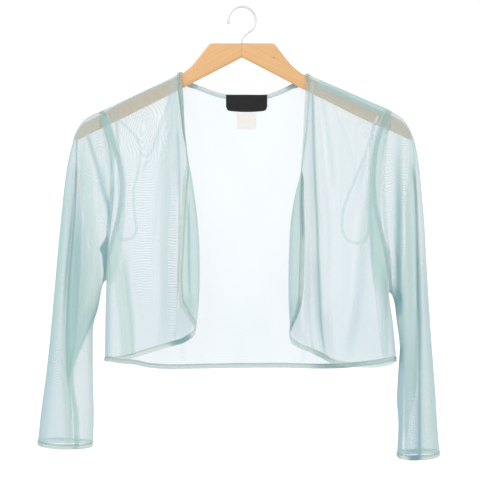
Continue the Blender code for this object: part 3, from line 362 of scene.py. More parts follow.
marks = {
    ("front", "right"): {"layers": 0.5, "hue": 0.5, "marks": [
        band([-80, -110, -140, -250, -340, -460], [76, 84, 86, 86, 86, 84],
             [92, 96, 98, 100, 103, 102], soft=7, layers=0.75),
        band([-80, -140, -185, -225, -300, -460], [126, 114, 102, 104, 106, 110], 230, soft=14,
             layers=0.28),
        band([-320, -354, -406, -440, -460], [150, 146, 140, 139, 139], [167, 165, 158, 156, 156],
             soft=6, layers=1.3, hue=0.5, ends=(50, 14)),
        band([-200, -260, -400, -450], [93, 92, 92, 96], [104, 104, 104, 106], soft=5, layers=0.35,
             ends=(40, 14)),
        band([-370, -400, -430], [60, 62, 70], [79, 84, 90], soft=6, layers=1.1, ends=(20, 10)),
        band([-120, -160, -200, -245], [75, 75, 74, 74], 86, soft=3, layers=0.8, hue=-0.1,
             ends=(30, 30)),
        band([-225, -260, -310, -340, -360], [151, 152, 156, 162, 168], 190, soft=5, layers=2.0,
             hue=0.4, ends=(40, 14)),
        streak([-84, -96, -109, -131, -160, -180, -200, -216], [84, 87, 91, 98, 108, 114, 124, 128],
               width=2.0, layers=1.0, shade=0.12, ends=(14, 60)),
        streak([-94, -117, -167, -217, -302, -387, -440], [88, 90, 95, 102, 104, 103, 108],
               width=4.5, layers=0.7, shade=0.04),
        streak([-97, -126, -151, -184, -217], [85, 84, 85, 86, 87], width=3.2, layers=0.5, hue=0.5),
        streak([-150, -200, -267, -328, -400], [84, 81.5, 81, 82, 85], width=1.3, layers=1.6,
               shade=0.16, ends=(40, 60)),
        streak([-310, -340, -378, -416, -455], [158, 152, 147, 143, 141], width=2.2, layers=0.9,
               shade=0.06, ends=(50, 14)),
        streak([-330, -360, -410, -456], [168.5, 172, 173, 174], width=2.6, layers=1.0, hue=0.4),
    ]},
    ("front", "left"): {"layers": 0.57, "hue": 0.5, "marks": [
        band([-80, -110, -140, -250, -340, -460], [80, 80, 80, 80, 80, 82],
             [92, 94, 94, 98, 101, 108], soft=3, layers=0.4),
        band([-140, -220, -300, -460], [118, 122, 126, 130], 230, soft=20, layers=0.25),
        band([-265, -290, -320, -345, -370], [165.5, 165.5, 166.5, 169, 172],
             [174, 177, 180, 184, 188], soft=4, layers=2.3, hue=0.1, ends=(20, 40)),
        band([-375, -405, -435], [60, 62, 70], [74, 76, 84], soft=6, layers=0.8, ends=(20, 10)),
        band([-390, -430, -466], [104, 106, 110], [116, 118, 122], soft=6, layers=0.6,
             ends=(30, 14)),
        band([-225, -269, -302, -359, -456], [160, 163, 166, 175, 183], [178, 182, 186, 188, 189],
             soft=3, layers=1.85, hue=0.45, ends=(50, 14)),
        streak([-96, -112, -151, -192, -233, -275, -316, -378, -416, -460],
               [91.2, 91.5, 92.6, 93.7, 95.2, 97.4, 98.5, 101.1, 103, 109.5], width=1.7, layers=2.8,
               shade=0.42, hue=0.3, ends=(10, 90)),
        streak([-100, -151, -233, -316, -378, -460], [87.5, 88.5, 91.5, 94.5, 98, 106], width=4.0,
               layers=0.6, shade=0.04, hue=-0.1, ends=(20, 60)),
        streak([-325, -378, -430], [95, 97.5, 101], width=4.0, layers=0.9, shade=0.03, hue=-0.2,
               ends=(30, 40)),
        streak([-300, -340, -378, -416, -460], [87, 86.5, 86.5, 88, 95], width=1.6, layers=0.9,
               shade=0.06, ends=(120, 14)),
        streak([-90, -94, -122, -167, -209, -240], [98, 100, 105, 112, 117, 120], width=3.4,
               layers=0.6, hue=0.4, ends=(10, 50)),
        streak([-96, -104, -142, -200, -250], [106, 110, 125, 144, 150], width=2.2, layers=0.3,
               ends=(10, 50)),
        streak([-110, -140, -180, -230], [99, 102, 107, 110], width=1.6, layers=-0.3,
               ends=(10, 50)),
        streak([-300, -345, -378, -416, -454], [165, 170, 174, 178, 182], width=1.5, layers=1.0,
               shade=0.08, ends=(40, 14)),
        streak([-205, -250, -300, -345], [166.5, 167, 168, 171], width=1.3, layers=1.2, shade=0.2,
               hue=-0.3, ends=(20, 60)),
        streak([-190, -215, -240], [161, 156, 151], width=3.0, layers=0.8, ends=(20, 30)),
        streak([-237, -267, -300, -359, -408, -450], [166, 162, 158, 153, 146, 139], width=5.5,
               layers=1.0, shade=0.03, ends=(40, 50)),
        streak([-250, -300, -359, -420], [150, 147, 143, 136], width=4.0, layers=-0.3,
               ends=(40, 50)),
    ]},
    ("back", "right"): {"layers": 0.92, "hue": 0.0, "marks": [
        streak([-120, -190, -260, -320], [96, 104, 112, 117], width=2.6, layers=0.3, shade=0.04,
               ends=(40, 60)),
        streak([-250, -330, -400, -462], [85, 82, 80, 77], width=3.0, layers=0.2, ends=(80, 14)),
    ]},
    ("back", "left"): {"layers": 0.92, "hue": 0.0, "marks": [
        streak([-115, -200, -280, -350], [100, 106, 112, 114], width=2.6, layers=0.3, shade=0.04,
               ends=(40, 60)),
        streak([-300, -370, -420, -462], [86, 84, 83, 80], width=3.0, layers=0.2, ends=(80, 14)),
    ]},
    ("sleeve front", "right"): {"layers": 0.98, "hue": 0.5, "marks": [
        band([-170, -217, -287, -330, -373, -431, -464, -502, -530, -590],
             [214, 216, 219, 223, 226, 227.6, 226.7, 222.8, 220.4, 218.7], 290, soft=2, layers=0.6,
             hue=0.25, ends=(30, 14)),
        band([-200, -300, -420, -500, -590], [223, 231, 240, 248, 255], 290, soft=9, layers=1.9,
             shade=0.06, ends=(160, 14)),
        band([-430, -480, -590], [227, 224, 219], 290, soft=4, layers=0.2, hue=-0.3, ends=(60, 14)),
        band([-340, -373, -431, -490, -530, -590], [222.8, 225.9, 227.6, 224, 220.4, 218.7],
             [228, 231, 232, 231, 231, 232], soft=2, layers=0.35, hue=0.6, ends=(60, 14)),
        band([-262, -287, -330, -373, -431, -464, -490], [209, 208.5, 208, 211, 214.5, 219.7, 224],
             [216.5, 218.7, 222.3, 225.8, 227.6, 227.5, 227], soft=4, layers=2.8, shade=0.27,
             hue=0.35, ends=(70, 30)),
        band([-185, -217, -250, -287, -330, -373, -410], [200, 195, 192, 189, 183, 184, 190],
             [212, 211.5, 210, 206.5, 203, 209, 214], soft=6, layers=1.0, hue=0.35, ends=(70, 30)),
        band([-300, -330, -373, -431, -470], [190, 194, 199, 208, 220], 226, soft=6, layers=1.2,
             shade=0.03, hue=0.1, ends=(110, 20)),
        band([-374, -409, -432, -451, -464, -480, -497, -512, -529, -554, -588],
             [181.4, 194.5, 204, 212.2, 217, 218, 216.5, 213.5, 211.2, 210.2, 210],
             [196, 208, 216, 221.7, 223.6, 224.3, 222.6, 220.4, 218.4, 218, 218], soft=2.2,
             layers=2.5, shade=0.14, hue=0.3, ends=(70, 14)),
        band([-450, -500, -588], [212, 211, 210], [225, 223, 223], soft=3, layers=-0.2,
             ends=(30, 14)),
        band([-294, -302, -313, -322, -335, -352], [173, 173.5, 174, 174.5, 175, 176.5],
             [175, 178, 184, 181, 180, 178], soft=2.0, layers=6.0, shade=0.95, ends=(6, 8)),
        band([-139, -165, -185, -198, -215, -240], [172, 165, 162, 165, 165.5, 167.2],
             [185, 177, 171.5, 170, 170, 169.5], soft=2, layers=2.2, shade=0.06, hue=0.3,
             ends=(10, 20)),
        streak([-160, -170, -217, -250, -287, -330, -373, -431, -464, -502, -530, -570],
               [215, 214.3, 214.9, 215.9, 218.2, 222, 225.3, 227.6, 226.7, 222.8, 220.4, 218.9],
               width=1.2, layers=2.6, shade=0.36, ends=(20, 30)),
        streak([-200, -250, -287, -330, -373], [218.5, 221, 222.5, 225.5, 228.5], width=1.8,
               layers=1.2, shade=0.12, hue=-0.5, ends=(40, 40)),
        streak([-235, -287, -330, -373, -400], [223.5, 225.5, 228, 229.5, 230], width=1.0,
               layers=1.4, shade=0.15, ends=(30, 30)),
        streak([-155, -175, -200], [215.2, 214.4, 214.6], width=1.0, layers=1.2, shade=0.2,
               ends=(14, 20)),
        streak([-311, -368, -425, -480, -524, -567], [237.5, 242.5, 247.5, 253.5, 259.5, 264],
               width=2.0, layers=1.6, shade=0.12, ends=(60, 14)),
        streak([-374, -385, -409, -432, -451, -470], [182.5, 186, 195.8, 205.6, 213.5, 218],
               width=1.8, layers=1.8, shade=0.16, ends=(30, 40)),
        streak([-205, -230, -255, -275], [182, 178, 173, 170], width=3.0, layers=1.4, shade=0.1,
               ends=(20, 20)),
        streak([-160, -185, -215], [217.8, 218.3, 219.3], width=1.3, layers=-0.5),
        streak([-214, -243, -273, -302, -323], [210.6, 209.2, 205.5, 199.8, 196.8], width=1.3,
               layers=-1.5, ends=(20, 20)),
        streak([-310, -345, -373, -431], [214.5, 213.5, 212.6, 215], width=2.2, layers=1.0,
               shade=0.12, hue=-0.3, ends=(40, 40)),
        streak([-472, -502, -530, -570, -588], [225.2, 221.4, 219.0, 217.8, 217.6], width=0.9,
               layers=-2.4, ends=(20, 4)),
        streak([-150, -157, -171, -190, -214, -234, -252, -264, -290],
               [206, 204, 198.4, 192.5, 185.4, 181, 175.2, 172.4, 172], width=2.6, layers=3.0,
               shade=0.26, hue=-0.1, ends=(10, 30)),
        streak([-245, -262, -285], [175, 172.6, 172], width=1.8, layers=2.0, shade=0.3),
        streak([-138, -170, -190, -204, -216], [184, 174.5, 170.4, 169.2, 169], width=1.3,
               layers=2.2, shade=0.5, ends=(10, 20)),
    ]},
    ("sleeve front", "left"): {"layers": 1.0, "hue": 0.5, "marks": [
        band([-120, -133, -159, -185, -211, -250, -283, -308, -325, -345],
             [186, 180, 170, 160, 160, 160, 165, 172, 180, 188],
             [198, 196, 190, 184.5, 180.7, 179, 181, 187, 193, 197], soft=2.5, layers=1.6,
             shade=0.04, hue=0.3, ends=(10, 20)),
        band([-420, -500, -590], [231, 232, 232], 290, soft=3, layers=0.3, hue=0.3, ends=(80, 14)),
        band([-330, -400, -470, -590], 230, 290, soft=2, layers=0.75, ends=(90, 14)),
        band([-150, -217, -300, -340], [219, 225, 229.5, 230], 290, soft=3, layers=-0.15, hue=0.4),
        band([-195, -220, -250, -302, -380, -445, -490, -506, -541, -567, -590],
             [217, 215, 213, 212, 207.5, 207.5, 209.5, 210.3, 210.3, 210.3, 210.3],
             [222.4, 223.2, 224.2, 225.8, 226.7, 226.4, 225.8, 223, 215.7, 212.8, 212], soft=2.2,
             layers=1.9, shade=0.02, hue=0.3, ends=(60, 14)),
        band([-415, -445, -490, -506, -541, -567, -590],
             [207.5, 207.5, 209.5, 210.3, 210.3, 210.3, 210.3],
             [226.7, 226.4, 225.8, 223, 215.7, 212.8, 212], soft=2.2, layers=1.6, shade=0.24,
             hue=0.1, ends=(110, 14)),
        band([-392, -410, -440, -470], [188, 188, 188, 196], [209, 209, 208.5, 206], soft=2.5,
             layers=3.6, shade=0.16, hue=0.4, ends=(14, 20)),
        band([-436, -455, -500, -560, -590], [206, 198, 188, 188, 188],
             [209.5, 209.3, 209, 208, 207], soft=2.5, layers=3.4, shade=0.34, hue=-0.3),
        band([-362, -378, -392, -402], [188, 188, 194, 198], [204, 208, 208, 206], soft=5,
             layers=2.5, shade=0.6, ends=(24, 14)),
        band([-502, -541, -567, -590], [223, 215.7, 212.8, 211.5], 229, soft=1.6, layers=1.7,
             shade=0.08, hue=-0.2),
        streak([-170, -191, -237, -276, -315, -350, -380, -418, -500, -586],
               [220, 222.6, 224.7, 225.5, 226.6, 227.3, 228, 229.6, 229.8, 230], width=1.8,
               layers=3.6, shade=0.42, ends=(180, 14)),
        streak([-440, -480, -520, -560, -588], [205.5, 203, 201.5, 202.5, 201.7], width=1.5,
               layers=1.6, shade=0.15),
        streak([-300, -350, -380, -418, -500, -586], [225.8, 227, 228, 229.6, 229.8, 229.8],
               width=2.6, layers=1.9, shade=0.22, ends=(60, 14)),
        streak([-185, -217, -250, -302, -338, -360, -395],
               [203.5, 203.4, 203.4, 203.4, 203, 202.4, 203], width=4.4, layers=5.2, shade=0.6,
               hue=0.2, ends=(150, 30)),
        streak([-180, -250, -330, -400], [198, 200, 201, 201], width=3.0, layers=0.6, shade=0.04,
               hue=-0.2, ends=(50, 60)),
        streak([-150, -200, -260, -320], [211.5, 211.3, 210, 209.5], width=2.2, layers=-0.5,
               ends=(20, 40)),
        streak([-165, -200, -235], [217.6, 217.6, 217.8], width=0.9, layers=1.0, ends=(20, 20)),
        # painted highlight: thinner net and less painted shade
        streak([-550, -562, -586], [209.8, 209.4, 209], width=2.0, layers=-3.0, shade=-0.3, hue=0.3,
               ends=(20, 4)),
    ]},
    ("sleeve back", "right"): {"layers": 0.95, "hue": 0.4, "marks": [
        band([-260, -300, -380, -440], [200, 202, 206, 214], [222, 224, 228, 230], soft=8,
             layers=1.0, ends=(80, 40)),
        streak([-170, -190, -260, -340, -430, -576], [209, 209, 212, 216, 220, 224], width=3.4,
               layers=0.5, shade=0.06, ends=(40, 14)),
    ]},
    ("sleeve back", "left"): {"layers": 0.85, "hue": 0.4, "marks": [
        band([-360, -420, -500, -590], [190, 194, 194, 194], [214, 214, 212, 210], soft=8,
             layers=0.8, ends=(80, 14)),
        streak([-170, -195, -270, -350, -450, -586], [213, 214, 216, 220, 224, 226], width=3.4,
               layers=0.4, shade=0.06, ends=(40, 14)),
    ]},
}


def clothMarks(where, side, out, height):
    table = marks[(where, side)]
    return addMarks(table["marks"], out, height, np.full(out.shape, table["layers"]),
                    np.zeros(out.shape), np.full(out.shape, table["hue"]))


def addMarks(entries, out, height, layers, shade, hue):
    for entry in entries:
        top, end = max(entry["height"]), min(entry["height"])
        first, last = entry["ends"]
        fade = smoothStep((top - height) / first + 0.3) * smoothStep((height - end) / last + 0.3)
        if "inner" in entry:
            inner = through(entry["height"], entry["inner"], height)
            outer = through(entry["height"], entry["outer"], height)
            share = (smoothStep((out - inner) / entry["soft"] + 0.5)
                     * smoothStep((outer - out) / entry["soft"] + 0.5))
        else:
            line = through(entry["height"], entry["out"], height)
            share = np.exp(-(((out - line) / entry["width"]) ** 2))
        layers = layers + entry["layers"] * share * fade
        shade = shade + entry["shade"] * share * fade
        hue = hue + entry["hue"] * share * fade
    return layers, shade, hue


def striped(out, height):
    # faint lengthwise streaks of a fine knit
    return (0.6 * np.sin(out / 1.15 + 2.0 * np.sin(out / 9.0) + 0.9 * np.sin(height / 55.0))
            + 0.4 * np.sin(out / 2.6 + 1.4 * np.sin(height / 80.0 + out / 30.0)))


def cloudy(x, z):
    # soft unevenness of hanging net
    return (np.sin(x / 17.0 + 1.3 * np.sin(z / 31.0)) * 0.5
            + np.sin(z / 23.0 + 1.7 * np.sin(x / 26.0 + 0.8)) * 0.3
            + np.sin((x + 0.35 * z) / 7.3) * 0.2)


def shimmer(out, height, spots):
    # wavy watered pattern where two nets cross, like wood grain round the middle of each spot
    amount = np.zeros(out.shape)
    phase = np.zeros(out.shape)
    for spot in spots:
        across, down = out - spot["out"], height - spot["height"]
        far = (across / spot["wide"]) ** 2 + (down / spot["tall"]) ** 2
        here = spot["amount"] * smoothStep(1.35 - far)
        wobble = (4.0 * np.sin(out / 8.0 + 0.6) + 3.0 * np.sin(height / 9.0 + out / 14.0)
                  + 1.6 * np.sin(out / 4.1 - height / 6.0))
        ring = np.sqrt(across ** 2 + (down * spot["squash"]) ** 2 + 4.0) + 0.8 * wobble
        phase = np.where(here > amount, ring * 2 * math.pi / spot["pitch"], phase)
        amount = np.maximum(amount, here)
    return phase, amount


def patch(out, height, wide, tall, amount, squash=0.45, pitch=3.6):
    return {"out": out, "height": height, "wide": wide, "tall": tall, "amount": amount,
            "squash": squash, "pitch": pitch}


shimmerSpots = {
    "right_front": [
        patch(127, -160, 36, 52, amount=0.5, squash=0.42, pitch=3.8),
    ],
    "left_front": [
        patch(160, -160, 14, 14, amount=0.16),
    ],
    "right_sleeve": [
        patch(190, -195, 16, 40, amount=0.26, squash=0.8),
        patch(180, -290, 18, 28, amount=0.14),
        patch(242, -455, 8, 34, amount=0.22, squash=0.9),
    ],
    "left_sleeve": [
        patch(190, -215, 9, 60, amount=0.55, squash=1.1, pitch=3.0),
        patch(210, -240, 3.5, 100, amount=0.7, squash=1.6, pitch=5.0),
        patch(221, -538, 6, 42, amount=0.8, squash=1.2, pitch=3.4),
    ],
}
gridSpots = {
    "right_front": [
        patch(133, -240, 22, 44, amount=1.0),
        patch(90, -330, 7.0, 112, amount=2.8),
        patch(128, -330, 14, 66, amount=1.1),
    ],
    "left_front": [],
}


def gridAmount(out, height, spots):
    amount = np.zeros(out.shape)
    for spot in spots:
        far = (((out - spot["out"]) / spot["wide"]) ** 2
               + ((height - spot["height"]) / spot["tall"]) ** 2)
        amount = np.maximum(amount, spot["amount"] * smoothStep(1.3 - far))
    return amount


# meshes

def gridNormals(points, ring=False):
    if ring:
        wide = np.roll(points, -1, axis=1) - np.roll(points, 1, axis=1)
    else:
        wide = np.gradient(points, axis=1)
    tall = np.gradient(points, axis=0)
    normal = np.cross(wide, tall)
    return normal / np.maximum(np.linalg.norm(normal, axis=2), 1e-9)[:, :, None]


def newMesh(name, vertices, faces, look):
    data = bpy.data.meshes.new(name)
    data.from_pydata([tuple(v) for v in vertices], [], [tuple(f) for f in faces])
    data.materials.append(look)
    data.update()
    made = bpy.data.objects.new(name, data)
    bpy.context.scene.collection.objects.link(made)
    data.shade_smooth()
    return made


def addUv(data, name, perVertex):
    layer = data.uv_layers.new(name=name)
    loops = np.empty(len(data.loops), dtype=np.int32)
    data.loops.foreach_get("vertex_index", loops)
    layer.data.foreach_set("uv", perVertex[loops].astype(np.float32).ravel())


def addNumbers(data, name, values):
    layer = data.attributes.new(name, "FLOAT", "POINT")
    layer.data.foreach_set("value", np.asarray(values, np.float32).ravel())


def openSheet(name, points, cut, ring, look, numbers):
    # one surface of cloth through a grid of points in millimetres
    rows, columns = points.shape[:2]
    index = np.arange(rows * columns).reshape(rows, columns)
    if ring:
        index = np.concatenate([index, index[:, :1]], axis=1)
    a, b = index[:-1, :-1], index[1:, :-1]
    c, d = index[1:, 1:], index[:-1, 1:]
    faces = np.stack([a, b, c, d], axis=-1).reshape(-1, 4)
    made = newMesh(name, points.reshape(-1, 3) * mm, faces, look)
    data = made.data
    i, j = np.meshgrid(np.arange(rows - 1), np.arange(index.shape[1] - 1), indexing="ij")
    cornerRow = np.stack([i, i + 1, i + 1, i], -1).reshape(-1)
    cornerColumn = np.stack([j, j, j + 1, j + 1], -1).reshape(-1)
    bake = np.stack([cornerColumn / (index.shape[1] - 1), 1 - cornerRow / (rows - 1)], axis=1)
    layer = data.uv_layers.new(name="cut")
    if ring:
        cut = np.concatenate([cut, cut[:, :1]], axis=1)
        cut[:, -1, 0] = cut[:, -2, 0] + (cut[:, 1, 0] - cut[:, 0, 0])
    layer.data.foreach_set("uv", (cut[cornerRow, cornerColumn] * mm).astype(np.float32).ravel())
    layer = data.uv_layers.new(name="OFBake")
    layer.data.foreach_set("uv", (0.002 + 0.996 * bake).astype(np.float32).ravel())
    for key, values in numbers.items():
        addNumbers(data, key, values)
    return made


def closedStrip(name, centre, normal, thick, look, numbers=None, ring=False):
    # a folded band: a grid with columns across it, given two skins and rounded edges
    rows, columns = centre.shape[:2]
    across = np.linspace(-1, 1, columns)
    half = thick / 2 * np.sqrt(np.clip(1 - np.abs(across) ** 3, 0.0, 1.0))
    upper = centre + normal * half[None, :, None]
    lower = centre[:, ::-1] - normal[:, ::-1] * half[None, ::-1, None]
    loop = np.concatenate([upper, lower[:, 1:-1]], axis=1)
    count = loop.shape[1]
    index = np.arange(rows * count).reshape(rows, count)
    index = np.concatenate([index, index[:, :1]], axis=1)
    if ring:
        index = np.concatenate([index, index[:1]], axis=0)
    a, b = index[:-1, :-1], index[1:, :-1]
    c, d = index[1:, 1:], index[:-1, 1:]
    faces = [list(f) for f in np.stack([a, b, c, d], axis=-1).reshape(-1, 4)]
    if not ring:
        faces.append(list(range(count))[::-1])
        last = (rows - 1) * count
        faces.append([last + k for k in range(count)])
    made = newMesh(name, loop.reshape(-1, 3) * mm, faces, look)
    data = made.data
    work = bmesh.new()
    work.from_mesh(data)
    bmesh.ops.recalc_face_normals(work, faces=work.faces)
    work.to_mesh(data)
    work.free()
    run = np.zeros(rows)
    run[1:] = np.cumsum(np.linalg.norm(np.diff(centre[:, columns // 2], axis=0), axis=1))
    width = np.linalg.norm(centre[:, -1] - centre[:, 0], axis=1).mean()
    acrossBy = np.concatenate([across, across[::-1][1:-1]]) * width / 2
    uv = np.stack(np.broadcast_arrays(run[:, None], acrossBy[None, :]), axis=-1).reshape(-1, 2)
    addUv(data, "cut", uv * mm)
    for key, value in (numbers or {}).items():
        value = np.broadcast_to(value, centre.shape[:2])
        addNumbers(data, key, np.concatenate([value, value[:, ::-1][:, 1:-1]], axis=1).ravel())
    data.set_sharp_from_angle(angle=math.radians(60))
    return made


def coons(top, bottom, left, right):
    rows, columns = len(left), len(top)
    v = np.linspace(0, 1, rows)[:, None, None]
    u = np.linspace(0, 1, columns)[None, :, None]
    across = (1 - v) * top[None] + v * bottom[None]
    along = (1 - u) * left[:, None] + u * right[:, None]
    corners = ((1 - u) * (1 - v) * top[0] + u * (1 - v) * top[-1]
               + (1 - u) * v * bottom[0] + u * v * bottom[-1])
    return across + along - corners


def surfaceNormals(surface, cut):
    # places and directions of a sheet, the directions straight up on the ridge
    step = 0.05
    out, height = cut[..., 0], cut[..., 1]
    wide = surface(out + step, height) - surface(out - step, height)
    tall = surface(out, height + step) - surface(out, height - step)
    normal = np.cross(wide, tall)
    points = surface(out, height)
    normal[np.abs(points[..., 1]) < 0.05, 1] = 0.0
    return points, normal / np.maximum(np.linalg.norm(normal, axis=-1), 1e-9)[..., None]


def slantFactor(normal, most=1.7):
    # net seen on the slant shows more thread, judged from the front and the back
    return np.minimum(1.0 / np.maximum(np.abs(normal[..., 1]), 0.2), most)


# materials

def nodesOf(name):
    made = bpy.data.materials.new(name)
    made.use_nodes = True
    tree = made.node_tree
    return made, tree, tree.nodes["Principled BSDF"]


def fill(tree, sockets, values):
    # each socket takes a link, a number or a colour
    for socket, value in zip(sockets, values):
        if isinstance(value, bpy.types.NodeSocket):
            tree.links.new(value, socket)
        else:
            socket.default_value = (*value, 1.0) if isinstance(value, tuple) else value


def finish(tree, shader, values):
    fill(tree, [shader.inputs[name] for name in values], values.values())


def mathNode(tree, operation, *values, clamp=False):
    node = tree.nodes.new("ShaderNodeMath")
    node.operation = operation
    node.use_clamp = clamp
    fill(tree, node.inputs, values)
    return node.outputs[0]


def number(tree, name):
    node = tree.nodes.new("ShaderNodeAttribute")
    node.attribute_name = name
    return node.outputs["Fac"]


def colourMix(tree, factor, first, second):
    node = tree.nodes.new("ShaderNodeMix")
    node.data_type = "RGBA"
    fill(tree, (node.inputs[0], node.inputs[6], node.inputs[7]), (factor, first, second))
    return node.outputs[2]


def wave(tree, value, pitch):
    return mathNode(tree, "SINE", mathNode(tree, "MULTIPLY", value, 2 * math.pi / pitch))


def splitOf(tree, vector):
    node = tree.nodes.new("ShaderNodeSeparateXYZ")
    tree.links.new(vector, node.inputs[0])
    return tuple(node.outputs)


def placeOn(tree):
    # the place on the object, in metres
    return tree.nodes.new("ShaderNodeTexCoord").outputs["Object"]


def noise(tree, vector, scale, detail=2.0, distortion=0.0):
    node = tree.nodes.new("ShaderNodeTexNoise")
    names = ("Vector", "Scale", "Detail", "Distortion")
    fill(tree, [node.inputs[name] for name in names], (vector, scale, detail, distortion))
    return node.outputs["Fac"]


def bump(tree, height, strength, distance):
    node = tree.nodes.new("ShaderNodeBump")
    names = ("Height", "Strength", "Distance")
    fill(tree, [node.inputs[name] for name in names], (height, strength, distance * mm))
    return node.outputs[0]


netLook = {
    "letsThrough": 0.65,                  # light that one layer lets through
    "thin": (0.395, 0.52, 0.612),
    "green": (0.38, 0.55, 0.515),
    # folded: the colour that the painted shade of creases and folds darkens towards
    "folded": (0.175, 0.325, 0.35),
    # a lighter colour for the cloth that lies on the hanger, painted light thrown back by the wood
    "paintedWoodLight": (0.48, 0.60, 0.59),
    "netDepth": 0.16,
    "roughness": 0.7, "shine": 0.15, "sheen": 0.08, "sheenRoughness": 0.5,
    # bars and dots where two nets cross, the bars bent by noise
    "barPitch": 3.3, "barShare": 0.42, "barBend": 7.0, "bendScale": 75.0,
    "dotPitch": 2.7, "dotShare": 0.6,
}


def makeNet(name, look, folded=False):
    made, tree, shader = nodesOf(name)

    def times(first, second):
        return mathNode(tree, "MULTIPLY", first, second)

    uv = tree.nodes.new("ShaderNodeUVMap")
    uv.uv_map = "cut"
    across, down, _ = splitOf(tree, uv.outputs["UV"])
    pitch = cloth["netPitch"] * mm
    # each second row of holes is set off by half a hole, as in a warp knit
    skew = wave(tree, mathNode(tree, "MULTIPLY_ADD", down, 0.5, across), pitch)
    net = times(mathNode(tree, "ADD", wave(tree, across, pitch), skew), wave(tree, down, pitch))
    weave = mathNode(tree, "MULTIPLY_ADD", net, look["netDepth"] * 0.5, 1.0)
    shown = times(number(tree, "layers"), weave)
    if not folded:
        # watered waves, bars and dots where two nets cross
        watered = times(mathNode(tree, "SINE", number(tree, "wavePhase")), number(tree, "waveAmount"))
        at = placeOn(tree)
        x, _, z = splitOf(tree, at)
        bent = mathNode(tree, "MULTIPLY_ADD", noise(tree, at, look["bendScale"]),
                        look["barBend"] * mm, z)
        bars = wave(tree, bent, look["barPitch"] * mm)
        dots = times(*(wave(tree, along, look["dotPitch"] * mm) for along in (x, z)))
        mixed = mathNode(tree, "ADD", times(bars, look["barShare"]), times(dots, look["dotShare"]))
        crossed = times(mixed, number(tree, "gridAmount"))
        shown = times(shown, mathNode(tree, "ADD", mathNode(tree, "ADD", watered, crossed), 1.0))
    passed = mathNode(tree, "POWER", look["letsThrough"], shown)
    colour = colourMix(tree, number(tree, "hue"), look["thin"], look["green"])
    # painted shade: the shade numbers darken the colour towards the folded colour
    colour = colourMix(tree, number(tree, "shade"), colour, look["folded"])
    # painted light: the cloth over the hanger is drawn lighter, as lit by the wood
    if not folded:
        colour = colourMix(tree, number(tree, "paintedWoodLight"), colour, look["paintedWoodLight"])
    finish(tree, shader, {
        "Alpha": mathNode(tree, "SUBTRACT", 1.0, passed, clamp=True),
        "Base Color": colour, "Normal": bump(tree, net, 0.25, 0.3),
        "Roughness": look["roughness"], "Specular IOR Level": look["shine"],
        "Sheen Weight": look["sheen"], "Sheen Roughness": look["sheenRoughness"]})
    return made


satinLook = {
    "dark": (0.50, 0.66, 0.66), "light": (0.66, 0.78, 0.79), "stub": (0.90, 0.92, 0.92),
    "alpha": 0.22, "stubAlpha": 0.6, "roughness": 0.32, "scale": 900.0,
}


def makeSatin(look):
    # a thin ribbon, whiter and closer on the stub that stands in front
    made, tree, shader = nodesOf("satinRibbon")
    grain = noise(tree, placeOn(tree), look["scale"])
    colour = colourMix(tree, grain, look["dark"], look["light"])
    colour = colourMix(tree, number(tree, "stub"), colour, look["stub"])
    alpha = mathNode(tree, "MULTIPLY_ADD", number(tree, "stub"), look["stubAlpha"], look["alpha"])
    finish(tree, shader, {"Base Color": colour, "Normal": bump(tree, grain, 0.2, 0.2),
                          "Roughness": look["roughness"], "Alpha": alpha})
    return made


def makeWoven(name, dark, light, pitch, roughness):
    # closely woven label ribbon
    made, tree, shader = nodesOf(name)
    at = placeOn(tree)
    x, _, z = splitOf(tree, at)
    weave = mathNode(tree, "MULTIPLY", wave(tree, x, pitch * mm), wave(tree, z, pitch * mm * 0.8))
    share = mathNode(tree, "MULTIPLY_ADD", weave, 0.5, 0.5)
    blend = mathNode(tree, "MULTIPLY", share, noise(tree, at, 160.0))
    finish(tree, shader, {"Base Color": colourMix(tree, blend, dark, light),
                          "Normal": bump(tree, share, 0.4, 0.3),
                          "Roughness": roughness, "Specular IOR Level": 0.2})
    return made


pineLook = {
    "pale": (0.69, 0.405, 0.18), "ring": (0.58, 0.305, 0.115),
    "knot": (0.42, 0.20, 0.08), "joint": (0.52, 0.27, 0.10),
    "knotPlaces": [(41.5, -65.0), (-150.0, -125.0)], "knotSize": (420.0, 900.0),
    "armSlope": 0.52, "stretch": (6.0, 40.0, 95.0),
    "ringPitch": 5.2, "ringBend": 16.0, "ringShare": (0.16, 0.22),
    "jointSharpness": 1700.0, "jointShare": 0.55,
    "roughness": 0.31, "roughnessSpread": 0.14,
}


